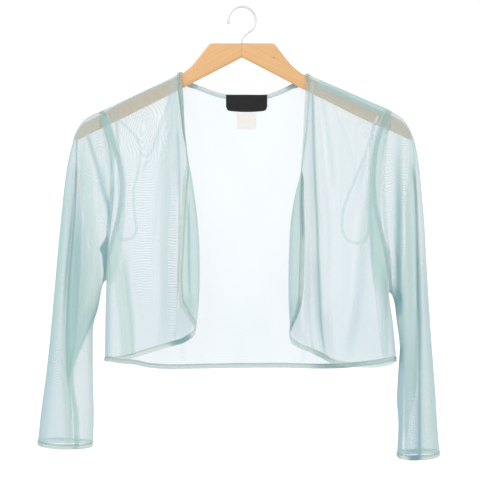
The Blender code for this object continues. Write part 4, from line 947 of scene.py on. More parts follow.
def makePine(look):
    made, tree, shader = nodesOf("pineWood")
    x, y, z = splitOf(tree, placeOn(tree))
    away = mathNode(tree, "ABSOLUTE", x)
    # grain runs down each arm, so heights are taken along the arm's slope
    level = mathNode(tree, "MULTIPLY_ADD", away, look["armSlope"], z)
    joined = tree.nodes.new("ShaderNodeCombineXYZ")
    fill(tree, joined.inputs, [mathNode(tree, "MULTIPLY", along, by)
                               for along, by in zip((x, y, level), look["stretch"])])
    grain = noise(tree, joined.outputs[0], 1.6, 5.0, 0.6)
    rings = wave(tree, mathNode(tree, "MULTIPLY_ADD", grain, look["ringBend"] * mm, level),
                 look["ringPitch"] * mm)
    colour = colourMix(tree, mathNode(tree, "MULTIPLY_ADD", rings, *look["ringShare"]),
                       look["pale"], look["ring"])
    knots = 0.0
    for place in look["knotPlaces"]:
        far = 0.0
        for along, middle, narrow in zip((x, z), place, look["knotSize"]):
            off = mathNode(tree, "MULTIPLY", mathNode(tree, "SUBTRACT", along, middle * mm), narrow)
            far = mathNode(tree, "MULTIPLY_ADD", off, off, far)
        knots = mathNode(tree, "MAXIMUM", mathNode(tree, "SUBTRACT", 1.0, far, clamp=True), knots)
    colour = colourMix(tree, knots, colour, look["knot"])
    joint = mathNode(tree, "SUBTRACT", 1.0,
                     mathNode(tree, "MULTIPLY", away, look["jointSharpness"]), clamp=True)
    colour = colourMix(tree, mathNode(tree, "MULTIPLY", joint, look["jointShare"]), colour,
                       look["joint"])
    fine = noise(tree, joined.outputs[0], 9.0, 3.0)
    rough = mathNode(tree, "MULTIPLY_ADD", fine, look["roughnessSpread"], look["roughness"])
    finish(tree, shader, {"Base Color": colour, "Normal": bump(tree, fine, 0.12, 0.4),
                          "Roughness": rough, "Coat Weight": 0.2, "Coat Roughness": 0.3})
    return made


def makeWire():
    made, tree, shader = nodesOf("platedWire")
    worn = noise(tree, placeOn(tree), 420.0, 3.0)
    colour = colourMix(tree, worn, (0.56, 0.57, 0.59), (0.74, 0.75, 0.77))
    rough = mathNode(tree, "MULTIPLY_ADD", worn, 0.16, 0.16)
    finish(tree, shader, {"Base Color": colour, "Roughness": rough, "Metallic": 1.0})
    return made


netCloth = makeNet("meshCloth", netLook)
bandCloth = makeNet("bindingCloth", {**netLook, "thin": (0.37, 0.50, 0.52),
                                     "green": (0.43, 0.55, 0.48), "netDepth": 0.3}, folded=True)
satin = makeSatin(satinLook)
blackRibbon = makeWoven("blackLabel", (0.008, 0.008, 0.009), (0.026, 0.026, 0.028), 0.8, 0.55)
whiteRibbon = makeWoven("whiteLabel", (0.72, 0.71, 0.67), (0.90, 0.89, 0.86), 0.7, 0.5)
pine = makePine(pineLook)
wire = makeWire()
print("materials made")


# body panels

def evenShares(line, cell):
    # small steps over the shoulder's bend, even ones past it
    length = runOf(line)[-1]
    bend = np.linspace(0, arc, bendRows) / length
    rest = max(8, int(length * (1 - bend[-1]) / cell))
    return np.concatenate([bend[:-1], np.linspace(bend[-1], 1, rest)])


def frontOutline(side, by):
    line = inward(spline(withRidge(frontEdge[side], lambda out: side)), by, 1.0)
    line[-1, 0] = frontEdge[side][-1][0]
    return line


def outerEdge(which, side, foot, count):
    # armhole and side seam, count points in all
    curve = armhole(which, side)
    heights = np.linspace(curve[-1, 1], foot[1], 40)[1:]
    outs = through(sideSeam[side]["height"], sideSeam[side]["out"], heights)
    seam = np.stack([outs, heights], axis=1)
    seam[-1] = foot
    whole = np.vstack([curve, seam])
    length = runOf(whole)[-1]
    bend = np.linspace(0, arc, bendRows) / length
    past = np.linspace(bend[-1], 1, count - bendRows + 1)
    return spaced(whole, np.concatenate([bend[:-1], past]))


def setOnBend(side, points):
    steps = np.linspace(0, arc, bendRows)
    points[:bendRows, 1] = ridgeCut(side, np.abs(points[:bendRows, 0])) - steps
    return points


def cornerCut(side, by):
    # the free edge down to the rounded corner, and the hem from there to the side seam
    line = frontOutline(side, by)
    split = frontCorner * splineSteps
    return line[: split + 1], line[split:]


frontLook = {
    "hemCells": 1.25,                     # columns for each cell's length of hem
    "markMargin": 4.0,                    # marks change no more this far past the roll's start
    "rollFrom": 8.0, "rollSoft": 8.0, "rollTop": -150.0, "rollFade": 60.0,
    "bandEnds": 12.0, "deepSoft": 3.0, "deepHides": 0.8, "bandHides": 0.7,
    "seamWidth": 1.5, "seamEnd": -330.0, "seamFade": 20.0, "seamLayers": 1.6, "seamShade": 0.25,
    "cloudShare": 0.07, "stripeShare": 0.05,
}


def makeFront(side):
    look = frontLook
    name = f"{side}_front_cloth"
    edge, hem = cornerCut(side, cloth["bindingWidth"] - cloth["tuckedIn"])
    edge = spaced(edge, evenShares(edge, cloth["frontCell"]))
    edge = setOnBend(side, edge)
    columns = int(runOf(hem)[-1] / cloth["frontCell"] * look["hemCells"])
    hem = spaced(hem, np.linspace(0, 1, columns))
    outer = outerEdge("front", side, hem[-1], len(edge))
    topOut = np.linspace(outer[0, 0], edge[0, 0], columns)
    top = np.stack([topOut, ridgeCut(side, topOut)], axis=1)
    cut = coons(top, hem[::-1], outer, edge)
    points, normal = surfaceNormals(lambda out, high: frontSurface(side, out, high), cut)
    out, height = cut[..., 0], cut[..., 1]
    start = through(lapel[side]["height"], lapel[side]["out"], height)
    flatOut = np.maximum(out, start - look["markMargin"])
    layers, shade, hue = clothMarks("front", side, flatOut, height)
    rolled = (smoothStep((start - out - look["rollFrom"]) / look["rollSoft"])
              * smoothStep((look["rollTop"] - height) / look["rollFade"]))
    layers = layers * (1 - rolled) + rolled * rolledLook[side]["layers"]
    shade = shade * (1 - rolled)
    hue = hue * (1 - rolled) + rolled
    real = points[..., 2]
    extra = addMarks(rolledLook[side]["marks"], np.abs(points[..., 0]), real, 0, 0, 0)
    layers, shade, hue = (grid + rolled * more for grid, more in zip((layers, shade, hue), extra))
    below = ridgeCut(side, np.abs(out)) - height
    for strip in shoulderBand[side]:
        ends = (smoothStep((out - strip["from"]) / look["bandEnds"])
                * smoothStep((strip["to"] - out) / look["bandEnds"]))
        # a strip below the ridge: more layers and painted shade along the edge, and less of the
        # painted wood light
        if "deep" in strip:
            share = smoothStep((strip["deep"] - below) / look["deepSoft"] + 0.5) * ends
            paintedWoodLight = paintedWoodLight * (1 - look["deepHides"] * share)
        else:
            # where the cloth lies on the hanger it takes the painted light off the wood
            paintedWoodLight = overHanger(side, np.abs(out), real) * ends
            share = look["bandHides"] * paintedWoodLight
            layers, hue = layers * (1 - share), hue * (1 - share)
        layers = layers + strip["layers"] * share
        hue = hue + strip["hue"] * share
        shade = shade + strip["shade"] * share
    # the armhole seam, drawn as a line of more layers and painted shade
    fromSeam = np.linalg.norm(cut - cut[:, :1], axis=-1)
    atSeam = (np.exp(-((fromSeam / look["seamWidth"]) ** 2))
              * smoothStep((real - look["seamEnd"]) / look["seamFade"]))
    layers = layers + look["seamLayers"] * atSeam
    shade = shade + look["seamShade"] * atSeam
    uneven = (look["cloudShare"] * cloudy(points[..., 0], real)
              + look["stripeShare"] * striped(out, height))
    layers = layers * (1 + uneven) * slantFactor(normal)
    if side == "left":
        cut, points, layers, shade, hue, paintedWoodLight = (
            grid[:, ::-1] for grid in (cut, points, layers, shade, hue, paintedWoodLight))
        out, height = cut[..., 0], cut[..., 1]
    phase, amount = shimmer(out, height, shimmerSpots[f"{side}_front"])
    amount = amount * (1 - overHanger(side, np.abs(points[..., 0]), points[..., 2]))
    made = openSheet(name, points, cut, False, netCloth, {
        "layers": layers, "shade": np.clip(shade, 0, 1), "hue": np.clip(hue, 0, 1),
        "wavePhase": phase, "waveAmount": amount, "paintedWoodLight": paintedWoodLight,
        "gridAmount": gridAmount(out, height, gridSpots[f"{side}_front"])})
    return made, cut


# marks on the rolled lapels; their shade is painted shade of the roll
rolledLook = {
    "right": {"layers": 1.5, "marks": [
        streak([-365, -400, -425], [66, 64, 62], width=6.0, layers=-0.9, ends=(30, 14)),
        streak([-250, -280, -330, -370, -388], [68.8, 68.6, 68.2, 67.4, 66.8], width=1.8,
               layers=3.2, shade=0.44, hue=-0.2, ends=(40, 60)),
        streak([-205, -250, -300, -400], [62, 60.5, 60, 60.5], width=3.5, layers=0.3, hue=-0.2,
               ends=(60, 50)),
    ]},
    "left": {"layers": 2.3, "marks": [
        streak([-200, -250, -302, -350, -390, -420], [71, 66, 63, 62, 62, 64], width=3.5,
               layers=0.9, shade=0.12, hue=-0.4, ends=(50, 40)),
        streak([-220, -260, -310, -360, -400], [73.5, 70.5, 69.5, 70, 71], width=3.5, layers=-0.1,
               ends=(50, 40)),
    ]},
}
# the doubled cloth over the hanger first, drawn with the painted light off the wood, then strips a
# given depth below the ridge, drawn with painted shade along it
shoulderBand = {
    "right": [{"from": 70.0, "to": 260.0, "layers": 1.9, "hue": 0.5, "shade": 0.0},
              {"deep": 2.6, "from": 70.0, "to": 260.0, "layers": 2.6, "hue": -0.3, "shade": 0.4}],
    "left": [{"from": 74.0, "to": 260.0, "layers": 2.2, "hue": 0.5, "shade": 0.0},
             {"deep": 16.0, "from": 94.0, "to": 196.0, "layers": 1.9, "hue": 0.4, "shade": 0.08},
             {"deep": 2.2, "from": 70.0, "to": 260.0, "layers": 1.2, "hue": -0.3, "shade": 0.15}],
}
sleeveOver = {"layers": 1.9, "hue": 0.5, "soft": 3.0, "right": 183.0, "left": 191.0}
sleeveRim = {"headEnd": -195.0, "headFade": 20.0, "turn": 0.42, "turnSoft": 0.3,
             "right": {"layers": 1.7, "shade": 0.14, "headLayers": 2.4, "headShade": 0.4},
             "left": {"layers": 0.5, "shade": 0.1, "headLayers": 1.2, "headShade": 0.15}}


def overHanger(side, out, height):
    # share of the cloth that lies against the hanger's arms, where it is doubled
    table = hangerUnder[side]
    soft = hangerLook["shownSoft"]
    return (smoothStep((height - through(table["out"], table["height"], out)) / soft + 0.5)
            * smoothStep((table["out"][-1] - out) / soft + 0.5))


def neckLine(by):
    line = spline(withRidge(backNeck, lambda out: "right" if out < 0 else "left"))
    return inward(line, by, -1.0)


def hemLine(by):
    line = inward(spline(backHem), by, 1.0)
    line[0, 0], line[-1, 0] = backHem[0][0], backHem[-1][0]
    return line


def bothBends(line, cell):
    length = runOf(line)[-1]
    bend = np.linspace(0, arc, bendRows) / length
    rest = int(length * (1 - 2 * bend[-1]) / cell)
    return np.concatenate([bend[:-1], np.linspace(bend[-1], 1 - bend[-1], rest),
                           1 - bend[::-1][1:]])


def neckPoints(by, shares):
    points = setOnBend("right", spaced(neckLine(by), shares))
    return setOnBend("left", points[::-1])[::-1]


def backTop(by, cell):
    neck = neckPoints(by, bothBends(neckLine(0.0), cell))
    found = []
    for side, sign, meet in (("right", -1, neck[0]), ("left", 1, neck[-1])):
        count = int((shoulderOut[side] - abs(meet[0])) / cell)
        outs = np.linspace(shoulderOut[side], abs(meet[0]), count)
        found.append(np.stack([sign * outs, ridgeCut(side, outs)], axis=1))
    return np.vstack([found[0][:-1], neck, found[1][::-1][1:]])


backLook = {
    "height": 360.0, "density": (0.92, 0.26), "densityFrom": -250.0, "densityOver": 200.0,
    "cloudShare": 0.05, "cloudShift": 40.0,
}


def makeBack():
    look = backLook
    cell = cloth["cell"]
    by = cloth["bindingWidth"] - cloth["tuckedIn"]
    top = backTop(by, cell)
    line = hemLine(by)
    acrossShare = (top[:, 0] - top[0, 0]) / (top[-1, 0] - top[0, 0])
    even = np.linspace(0, 1, len(top))
    hem = spaced(line, 0.5 * acrossShare + 0.5 * even)
    rows = int(look["height"] / cell)
    edges = [outerEdge("back", side, np.abs(foot) * (1, -1), rows) * (sign, 1)
             for side, sign, foot in (("right", -1, hem[0]), ("left", 1, hem[-1]))]
    cut = coons(top, hem, *edges)
    points, normal = surfaceNormals(backSurface, cut)
    layers = np.empty(cut.shape[:2])
    shade, hue = np.empty_like(layers), np.empty_like(layers)
    for side, mask in (("right", cut[..., 0] < 0), ("left", cut[..., 0] >= 0)):
        found = clothMarks("back", side, np.abs(cut[..., 0]), cut[..., 1])
        for grid, values in zip((layers, shade, hue), found):
            grid[mask] = values[mask]
    least, more = look["density"]
    lower = smoothStep((look["densityFrom"] - cut[..., 1]) / look["densityOver"])
    uneven = look["cloudShare"] * cloudy(points[..., 0] + look["cloudShift"], points[..., 2])
    layers = layers * (least + more * lower) * (1 + uneven) * slantFactor(normal)
    cut, points, layers, shade, hue = (g[:, ::-1] for g in (cut, points, layers, shade, hue))
    zero = np.zeros(layers.shape)
    made = openSheet("back_cloth", points, cut, False, netCloth, {
        "layers": layers, "shade": np.clip(shade, 0, 1), "hue": np.clip(hue, 0, 1),
        "wavePhase": zero, "waveAmount": zero, "gridAmount": zero})
    return made, cut


# the stitched edge of a binding: a real seam, drawn as more layers and painted shade, darkest in the
# darkStitch ranges
bindingLook = {"thick": 1.7, "cell": 1.6, "across": 9, "stitchFade": 16.0,
               "stitch": (0.4, 4.5), "stitchShade": (0.05, 0.9),
               "hue": {"right": 0.9, "left": 0.6},
               "stitchAt": {"right": (cloth["bindingWidth"] - 0.6, 0.9), "left": (2.9, 1.3)},
               "darkStitch": {"right": [(-100.0, -180.0)],
                              "left": [(-195.0, -305.0), (-370.0, -428.0)]}}


# denser or darker spots of the bindings, the darker ones painted shade in folds, turned corners and
# inside the cuffs:
# middle (across, height), reach both ways, added layers and added shade
bandSpots = {
    "right_front_edge_band": [
        ((-79.0, -431.0), (13.0, 7.0), 5.0, 0.85),
        ((-79.0, -136.0), (10.0, 40.0), 2.2, 0.35),
        ((-87.0, -90.0), (10.0, 10.0), -0.5, 0.0),
    ],
    "left_front_edge_band": [
        ((108.0, -448.0), (14.0, 9.0), 1.6, 0.12),
        ((86.0, -130.0), (9.0, 60.0), -0.3, 0.0),
        ((72.0, -330.0), (9.0, 60.0), 0.6, 0.0),
    ],
    "back_hem_band": [
        ((123.0, -464.0), (26.0, 8.0), 2.4, 0.35),
    ],
    "back_neck_band": [
        ((65.0, -98.5), (8.0, 6.0), 3.0, 0.5),
        ((-65.0, -98.5), (7.0, 5.0), 1.6, 0.2),
    ],
    "left_cuff_edge_band": [
        ((223.5, -580.0), (7.5, 30.0), 7.0, 1.0),
        ((199.0, -580.0), (6.0, 30.0), 1.6, 0.3),
    ],
    "right_cuff_edge_band": [
        ((-267.0, -575.0), (10.0, 30.0), 0.8, 0.2),
        ((-215.0, -575.0), (4.0, 30.0), 1.2, 0.1),
    ],
}


def bandNumbers(name, points, numbers):
    layers = np.full(points.shape[:2], numbers["layers"])
    shade = np.full(points.shape[:2], numbers["shade"])
    for (x, z), (wide, tall), moreLayers, moreShade in bandSpots[name]:
        share = np.exp(-((points[..., 0] - x) / wide) ** 4 - ((points[..., 2] - z) / tall) ** 4)
        layers = layers + moreLayers * share
        shade = shade + moreShade * share
    return {"layers": layers, "hue": numbers["hue"], "shade": np.clip(shade, 0, 1)}


def makeFrontBinding(side):
    look = bindingLook
    lines = []
    first = frontOutline(side, 0.0)
    shares = evenShares(first, look["cell"])
    widths = np.linspace(0.0, cloth["bindingWidth"], look["across"])
    places = np.interp(shares * runOf(first)[-1], runOf(first), np.arange(len(first)))
    for by in widths:
        line = frontOutline(side, by)
        at = np.arange(len(line))
        points = np.stack([np.interp(places, at, line[:, k]) for k in (0, 1)], axis=1)
        lines.append(setOnBend(side, points))
    cut = np.stack(lines, axis=1)
    points, normal = surfaceNormals(lambda out, high: frontSurface(side, out, high), cut)
    name = f"{side}_front_edge_band"
    numbers = bandNumbers(name, points, {"layers": 0.85, "shade": 0.0, "hue": look["hue"][side]})
    # more layers and painted shade along the stitched edge
    stitchAt, stitchWidth = look["stitchAt"][side]
    stitched = np.exp(-(((widths - stitchAt) / stitchWidth) ** 2))[None, :]
    high = points[..., 2]
    fade = look["stitchFade"]
    dark = sum(smoothStep((top - high) / fade) * smoothStep((high - end) / fade)
               for top, end in look["darkStitch"][side])
    for key, (least, more) in (("layers", look["stitch"]), ("shade", look["stitchShade"])):
        numbers[key] = numbers[key] + stitched * (least + more * dark)
    numbers["shade"] = np.clip(numbers["shade"], 0, 1)
    return closedStrip(name, points, normal, look["thick"], bandCloth, numbers)


def makeBackBands():
    look = bindingLook
    made = []
    shares = bothBends(neckLine(0.0), look["cell"])
    widths = np.linspace(0.0, cloth["bindingWidth"], look["across"])
    neck = np.stack([neckPoints(by, shares) for by in widths], axis=1)
    first = hemLine(0.0)
    count = int(runOf(first)[-1] / look["cell"])
    places = np.linspace(0, len(first) - 1, count)
    rows = []
    for by in widths:
        line = hemLine(by)
        at = np.arange(len(line))
        rows.append(np.stack([np.interp(places, at, line[:, k]) for k in (0, 1)], axis=1))
    hem = np.stack(rows, axis=1)
    for name, cut, layers in (("back_neck_band", neck, 1.3), ("back_hem_band", hem, 1.5)):
        points, normal = surfaceNormals(backSurface, cut)
        numbers = {"layers": layers, "hue": 0.3, "shade": 0.0}
        made.append(closedStrip(name, points, normal, look["thick"], bandCloth,
                                bandNumbers(name, points, numbers)))
    return made


# sleeves

sleeveTable = {
    "right": {
        "overOut": [180.7, 190.5, 200.0, 207.5, 213.3, 217.4, 220.4, 224.9,
                    229.5, 233.9, 238.8, 243.8, 249.0, 255.0, 261.0, 265.5],
        "overHeight": [-132.6, -137.3, -142.3, -148.6, -157.0, -166.0, -177.0, -194.2,
                       -222.0, -261.3, -311.0, -368.0, -425.0, -480.0, -524.0, -567.0],
        "underOut": [178.4, 179.8, 180.8, 181.6, 182.2, 182.7, 183.2, 183.9,
                     185.2, 187.8, 191.8, 194.2, 194.2, 193.4, 192.6, 194.2],
        "underHeight": [-353.6, -354.6, -356.2, -358.4, -361.2, -364.4, -368.0, -373.0,
                        -381.0, -393.0, -406.0, -424.0, -457.0, -495.0, -530.0, -569.0],
    },
    "left": {
        "overOut": [189.8, 199.5, 208.0, 214.5, 219.5, 223.2, 226.2, 229.8,
                    233.0, 236.6, 239.6, 243.0, 247.0, 251.2, 253.8, 257.0],
        "overHeight": [-131.4, -137.5, -143.5, -151.5, -160.8, -171.0, -182.5, -203.0,
                       -235.0, -277.0, -330.0, -388.0, -445.0, -500.0, -543.0, -581.0],
        "underOut": [193.4, 194.8, 195.8, 196.6, 197.2, 197.8, 198.4, 199.2,
                     200.2, 201.6, 203.8, 205.2, 203.2, 201.5, 203.4, 201.5],
        "underHeight": [-369.2, -370.2, -371.8, -374.0, -376.8, -380.0, -383.6, -389.0,
                        -398.0, -410.0, -425.0, -443.0, -473.0, -509.0, -542.0, -583.0],
    },
}
sleeveDepth = {
    "station": [0, 3, 6, 9, 12, 15],
    "half": [10.0, 11.5, 13.5, 16.0, 18.0, 19.0],
    "square": [3.6, 3.6, 3.2, 2.6, 2.3, 2.2],
}
roundShares = [0, 0.015, 0.03, 0.045, 0.06, 0.11, 0.19, 0.30, 0.43, 0.57, 0.70, 0.82,
               0.91, 0.965, 1.0]
creaseColumn = {"sleeve front": 7, "sleeve back": 8}
sleeveLook = {
    "around": 280, "rows": 250, "lastStation": 15.0, "stationLength": 40.0,
    "armholeFade": 7.0, "cuffDroop": 4.5, "cuffHeight": 6.5,
    "cuffBehind": {"right": 0.6, "left": 0.9},
    "unevenShare": 0.06, "leastLayers": 0.25, "mostSlant": 1.5,
    "tapeStart": 0.6, "tapeWidth": 7.0, "tapeLift": 1.1,
    "tapeLayers": 2.6, "tapeShade": 0.06, "tapeHue": 0.6,
    # the tape is seen less behind, between these heights
    "tapeThin": {"right": (-125.0, -240.0), "left": (-152.0, -325.0)},
    "tapeThinBy": 2.1, "tapeThinFades": (14.0, 24.0),
    "meetStations": 1.6,                  # where the tube leaves the armhole's own shape
    "foldStart": 2.0, "foldFull": 4.0, "droopStart": 12.0, "droopOver": 3.0, "droopBehind": -0.2,
}


def sleeveEdges(side, station):
    table = sleeveTable[side]
    at = np.arange(len(table["overOut"]), dtype=float)
    return [np.stack([through(at, table[f"{edge}{way}"], station) for way in ("Out", "Height")], -1)
            for edge in ("over", "under")]


def creaseShare(side, fold, station):
    over, under = sleeveEdges(side, station)
    tries = np.linspace(0.02, 0.98, 97)
    flat = over[..., None, :] + (under - over)[..., None, :] * tries[:, None]
    miss = flat[..., 0] - through(fold["height"], fold["out"], flat[..., 1])
    first = np.argmax(miss < 0, axis=-1)
    first = np.where((miss < 0).any(axis=-1), first, len(tries) - 1)
    first = np.maximum(first, 1)
    after = np.take_along_axis(miss, first[..., None], -1)[..., 0]
    before = np.take_along_axis(miss, first[..., None] - 1, -1)[..., 0]
    part = np.clip(before / np.where(before - after == 0, 1.0, before - after), 0, 1)
    return tries[first - 1] + (tries[first] - tries[first - 1]) * part


def armholeRing(side, along, inFront):
    found = {}
    for which in ("front", "back"):
        at = spaced(armhole(which, side), along.ravel())
        depth, real = hang(which, side, at[:, 0], at[:, 1])
        found[which] = (np.stack([at[:, 0], real], axis=-1).reshape(*along.shape, 2),
                        depth.reshape(along.shape))
    edge = np.where(inFront[..., None], found["front"][0], found["back"][0])
    return edge, np.where(inFront, found["front"][1], found["back"][1])


def sleeveSurface(side, station, turn):
    # turn goes once round: from overarm down the front to underarm, and up the back
    station, turn = np.broadcast_arrays(np.asarray(station, float), np.asarray(turn, float))
    inFront = turn <= 0.5
    share = np.where(inFront, turn * 2, 2 - turn * 2)
    steps = np.linspace(0, 1, len(roundShares))
    along = through(steps, roundShares, share)
    even = along
    over, under = sleeveEdges(side, station)
    length = np.linalg.norm(under - over, axis=-1)
    apart = np.zeros(station.shape)
    follow = smoothStep((station - sleeveLook["foldStart"]) / sleeveLook["foldFull"])
    for where, mask in (("sleeve front", inFront), ("sleeve back", ~inFront)):
        for order, fold in enumerate(folds[(where, side)]):
            shareOf = creaseShare(side, fold, station[:, :1]) * np.ones(station.shape)
            if order == 0:
                fixed = roundShares[creaseColumn[where]]
                aim = fixed + (shareOf - fixed) * follow
                moved = np.where(along < fixed, along * aim / fixed,
                                 1 - (1 - along) * (1 - aim) / (1 - fixed))
                along = np.where(mask, moved, along)
                shareOf = aim
            top, end = max(fold["height"]), min(fold["height"])
            height = over[..., 1] + (under - over)[..., 1] * along
            fade = smoothStep((top - height) / cloth["foldFade"])
            fade = fade * smoothStep((height - end) / cloth["foldFade"] + 0.6) * follow
            bump = fold["depth"] * fade * np.exp(-(((along - shareOf) * length / fold["width"]) ** 2))
            apart = np.where(mask, apart + bump, apart)
    flat = over + (under - over) * along[..., None]
    fade = 1 - smoothStep(station / sleeveLook["armholeFade"])
    edge, edgeDepth = armholeRing(side, even, inFront)
    firstOver, firstUnder = sleeveEdges(side, np.zeros(station.shape))
    flat = flat + (edge - firstOver - (firstUnder - firstOver) * even[..., None]) * fade[..., None]
    half = through(sleeveDepth["station"], sleeveDepth["half"], station)
    square = through(sleeveDepth["station"], sleeveDepth["square"], station)
    off = np.clip(np.abs(2 * along - 1), 0, 1)
    depth = half * (1 - off ** square) ** (1 / square)
    meet = 1 - smoothStep(station / sleeveLook["meetStations"])
    depth = depth * (1 - meet) + edgeDepth * meet
    roundOff = np.sqrt(np.clip(1 - off ** 2, 0, 1))
    depth = depth - apart * roundOff * (1 - meet)
    share = smoothStep((station - sleeveLook["droopStart"]) / sleeveLook["droopOver"])
    droop = sleeveLook["cuffDroop"] * share * roundOff
    height = flat[..., 1] - droop * np.where(inFront, 1.0, sleeveLook["droopBehind"])
    return place(side, flat[..., 0], np.where(inFront, -depth, depth), height)


def sleeveTurns(count):
    # more columns near the overarm and underarm edges, where the cloth turns
    even = np.arange(count) / count
    return even - 0.35 * np.sin(4 * math.pi * even) / (4 * math.pi)


def makeSleeve(side):
    look = sleeveLook
    last = look["lastStation"] - (look["cuffHeight"] - cloth["tuckedIn"]) / look["stationLength"]
    stations = np.concatenate([np.linspace(0, 2, 36)[:-1], np.linspace(2, last, look["rows"])])
    turns = sleeveTurns(look["around"])
    points = sleeveSurface(side, stations[:, None], turns[None, :])
    if side == "right":
        points, turns = points[:, ::-1], turns[::-1]
    normal = gridNormals(points, ring=True)
    out, height = np.abs(points[..., 0]), points[..., 2]
    inFront = np.broadcast_to(turns[None, :] <= 0.5, out.shape)
    layers = np.empty(out.shape)
    shade, hue = np.empty_like(layers), np.empty_like(layers)
    for where, mask in (("sleeve front", inFront), ("sleeve back", ~inFront)):
        found = clothMarks(where, side, out, height)
        for grid, values in zip((layers, shade, hue), found):
            grid[mask] = values[mask]
    # where the sleeve lies on the hanger it takes the painted light off the wood
    past = smoothStep((out - sleeveOver[side]) / sleeveOver["soft"])
    over = overHanger(side, out, height) * inFront * past
    shade = shade * (1 - over)
    hue = hue * (1 - over) + sleeveOver["hue"] * over
    # denser where the tube turns away at its two edges, most of all at the sleeve's head, with
    # painted shade there too
    edge = sleeveRim[side]
    rim = smoothStep((sleeveRim["turn"] - np.abs(normal[..., 1])) / sleeveRim["turnSoft"])
    head = rim * smoothStep((height - sleeveRim["headEnd"]) / sleeveRim["headFade"])
    layers = layers + edge["layers"] * rim
    shade = shade + edge["shade"] * rim + edge["headShade"] * head
    uneven = look["unevenShare"] * (cloudy(points[..., 0] - 20, points[..., 2] + 30)
                                    + striped(out, height))
    layers = np.maximum(layers, look["leastLayers"]) * (1 + uneven)
    layers = layers * slantFactor(normal, look["mostSlant"])
    layers = layers * (1 - over) + sleeveOver["layers"] * over + edge["headLayers"] * head
    run = np.zeros(points.shape[:2])
    run[:, 1:] = np.cumsum(np.linalg.norm(np.diff(points, axis=1), axis=2), axis=1)
    down = np.zeros(points.shape[:2])
    down[1:] = np.cumsum(np.linalg.norm(np.diff(points, axis=0), axis=2), axis=0)
    cut = np.stack([run, -down.mean(axis=1)[:, None] * np.ones(run.shape)], axis=-1)
    phase, amount = shimmer(out, height, shimmerSpots[f"{side}_sleeve"])
    return openSheet(f"{side}_sleeve_cloth", points, cut, True, netCloth, {
        "layers": layers, "shade": np.clip(shade, 0, 1), "hue": np.clip(hue, 0, 1),
        "wavePhase": phase, "waveAmount": np.where(inFront, amount, 0.0) * (1 - over),
        "paintedWoodLight": over, "gridAmount": np.zeros(out.shape)})


def makeCuff(side):
    look = sleeveLook
    span = look["cuffHeight"] / look["stationLength"]
    turns = sleeveTurns(260)
    stations = np.linspace(look["lastStation"] - span, look["lastStation"], 8)
    grid = sleeveSurface(side, stations[:, None], turns[None, :])
    normal = gridNormals(grid, ring=True)
    name = f"{side}_cuff_edge_band"
    grid, normal = grid.transpose(1, 0, 2), normal.transpose(1, 0, 2)
    numbers = bandNumbers(name, grid, {"layers": 1.5, "hue": 0.6, "shade": 0.04})
    numbers["layers"] = numbers["layers"] * np.where(grid[..., 1] > 0, look["cuffBehind"][side], 1.0)
    return closedStrip(name, grid, normal, bindingLook["thick"], bandCloth, numbers, ring=True)


def makeTape(side):
    # the bound seam allowance, inside the sleeve beside the armhole seam
    look = sleeveLook
    turns = sleeveTurns(220)
    stations = np.linspace(0, 9, 181)
    fine = sleeveSurface(side, stations[:, None], turns[None, :])
    run = np.linalg.norm(np.diff(fine, axis=0), axis=2)
    run = np.vstack([np.zeros(len(turns)), np.cumsum(run, axis=0)])
    rows = []
    for reach in np.linspace(look["tapeStart"], look["tapeWidth"], 7):
        picks = [np.interp(reach, run[:, j], stations) for j in range(len(turns))]
        rows.append([[np.interp(station, stations, fine[:, j, k]) for k in range(3)]
                     for j, station in enumerate(picks)])
    grid = np.array(rows)
    inside = gridNormals(grid, ring=True)
    middle = grid.mean(axis=1, keepdims=True)
    flip = np.sign(((grid - middle) * inside).sum(axis=-1, keepdims=True).mean())
    grid = grid - inside * flip * look["tapeLift"]
    run = np.zeros(grid.shape[:2])
    run[:, 1:] = np.cumsum(np.linalg.norm(np.diff(grid, axis=1), axis=2), axis=1)
    across = np.linspace(0, look["tapeWidth"], len(grid))[:, None] * np.ones(run.shape)
    cut = np.stack([run, across], axis=-1)
    if flip < 0:
        grid, cut = grid[:, ::-1], cut[:, ::-1]
    top, end = look["tapeThin"][side]
    topFade, endFade = look["tapeThinFades"]
    thin = ((grid[..., 1] > 0) * smoothStep((top - grid[..., 2]) / topFade)
            * smoothStep((grid[..., 2] - end) / endFade))
    return openSheet(f"{side}_armhole_tape_cloth", grid, cut, True, bandCloth, {
        "layers": look["tapeLayers"] - look["tapeThinBy"] * thin,
        "shade": np.full(thin.shape, look["tapeShade"]),
        "hue": np.full(thin.shape, look["tapeHue"])})


# trim

loopLook = {
    "width": 4.0, "thick": 0.5, "steps": 150,
    "stubHeight": {"right": 141.5, "left": 152.0}, "stubFade": 3.0,
    "right": {
        "out": [166, 157, 147, 137, 132.5, 132, 136, 140, 141, 139, 137, 141,
                151, 159.5, 161, 159.5, 160, 161, 164],
        "height": [-139.5, -148.5, -157.5, -168, -180, -193, -218, -233, -250, -272, -288, -297,
                   -301.5, -298, -280, -255, -215, -180, -146],
        "depth": [-6.75, -6.75, -6.75, -6.6, -6.4, -6.0, -5.4, -5.0, -5.0, -5.0, -5.0, -5.0,
                  -4.6, -2.0, 0.0, 1.0, 3.0, 5.0, 6.75],
    },
    "left": {
        "out": [176, 174.5, 171, 165.5, 158.8, 149, 140.7, 133.9, 130, 130, 135.6, 147.3,
                157, 163, 165.5, 166, 166, 168, 173],
        "height": [-140, -145, -152.5, -173.7, -193.7, -216.8, -236.6, -254.8, -274.8, -288,
                   -299.8, -305.5, -304, -296, -280, -255, -215, -180, -147],
        "depth": [-6.75, -6.75, -6.75, -6.6, -6.4, -6.0, -5.4, -5.0, -5.0, -5.0, -5.0, -5.0,
                  -4.6, -2.0, 0.0, 1.0, 3.0, 5.0, 6.75],
    },
}


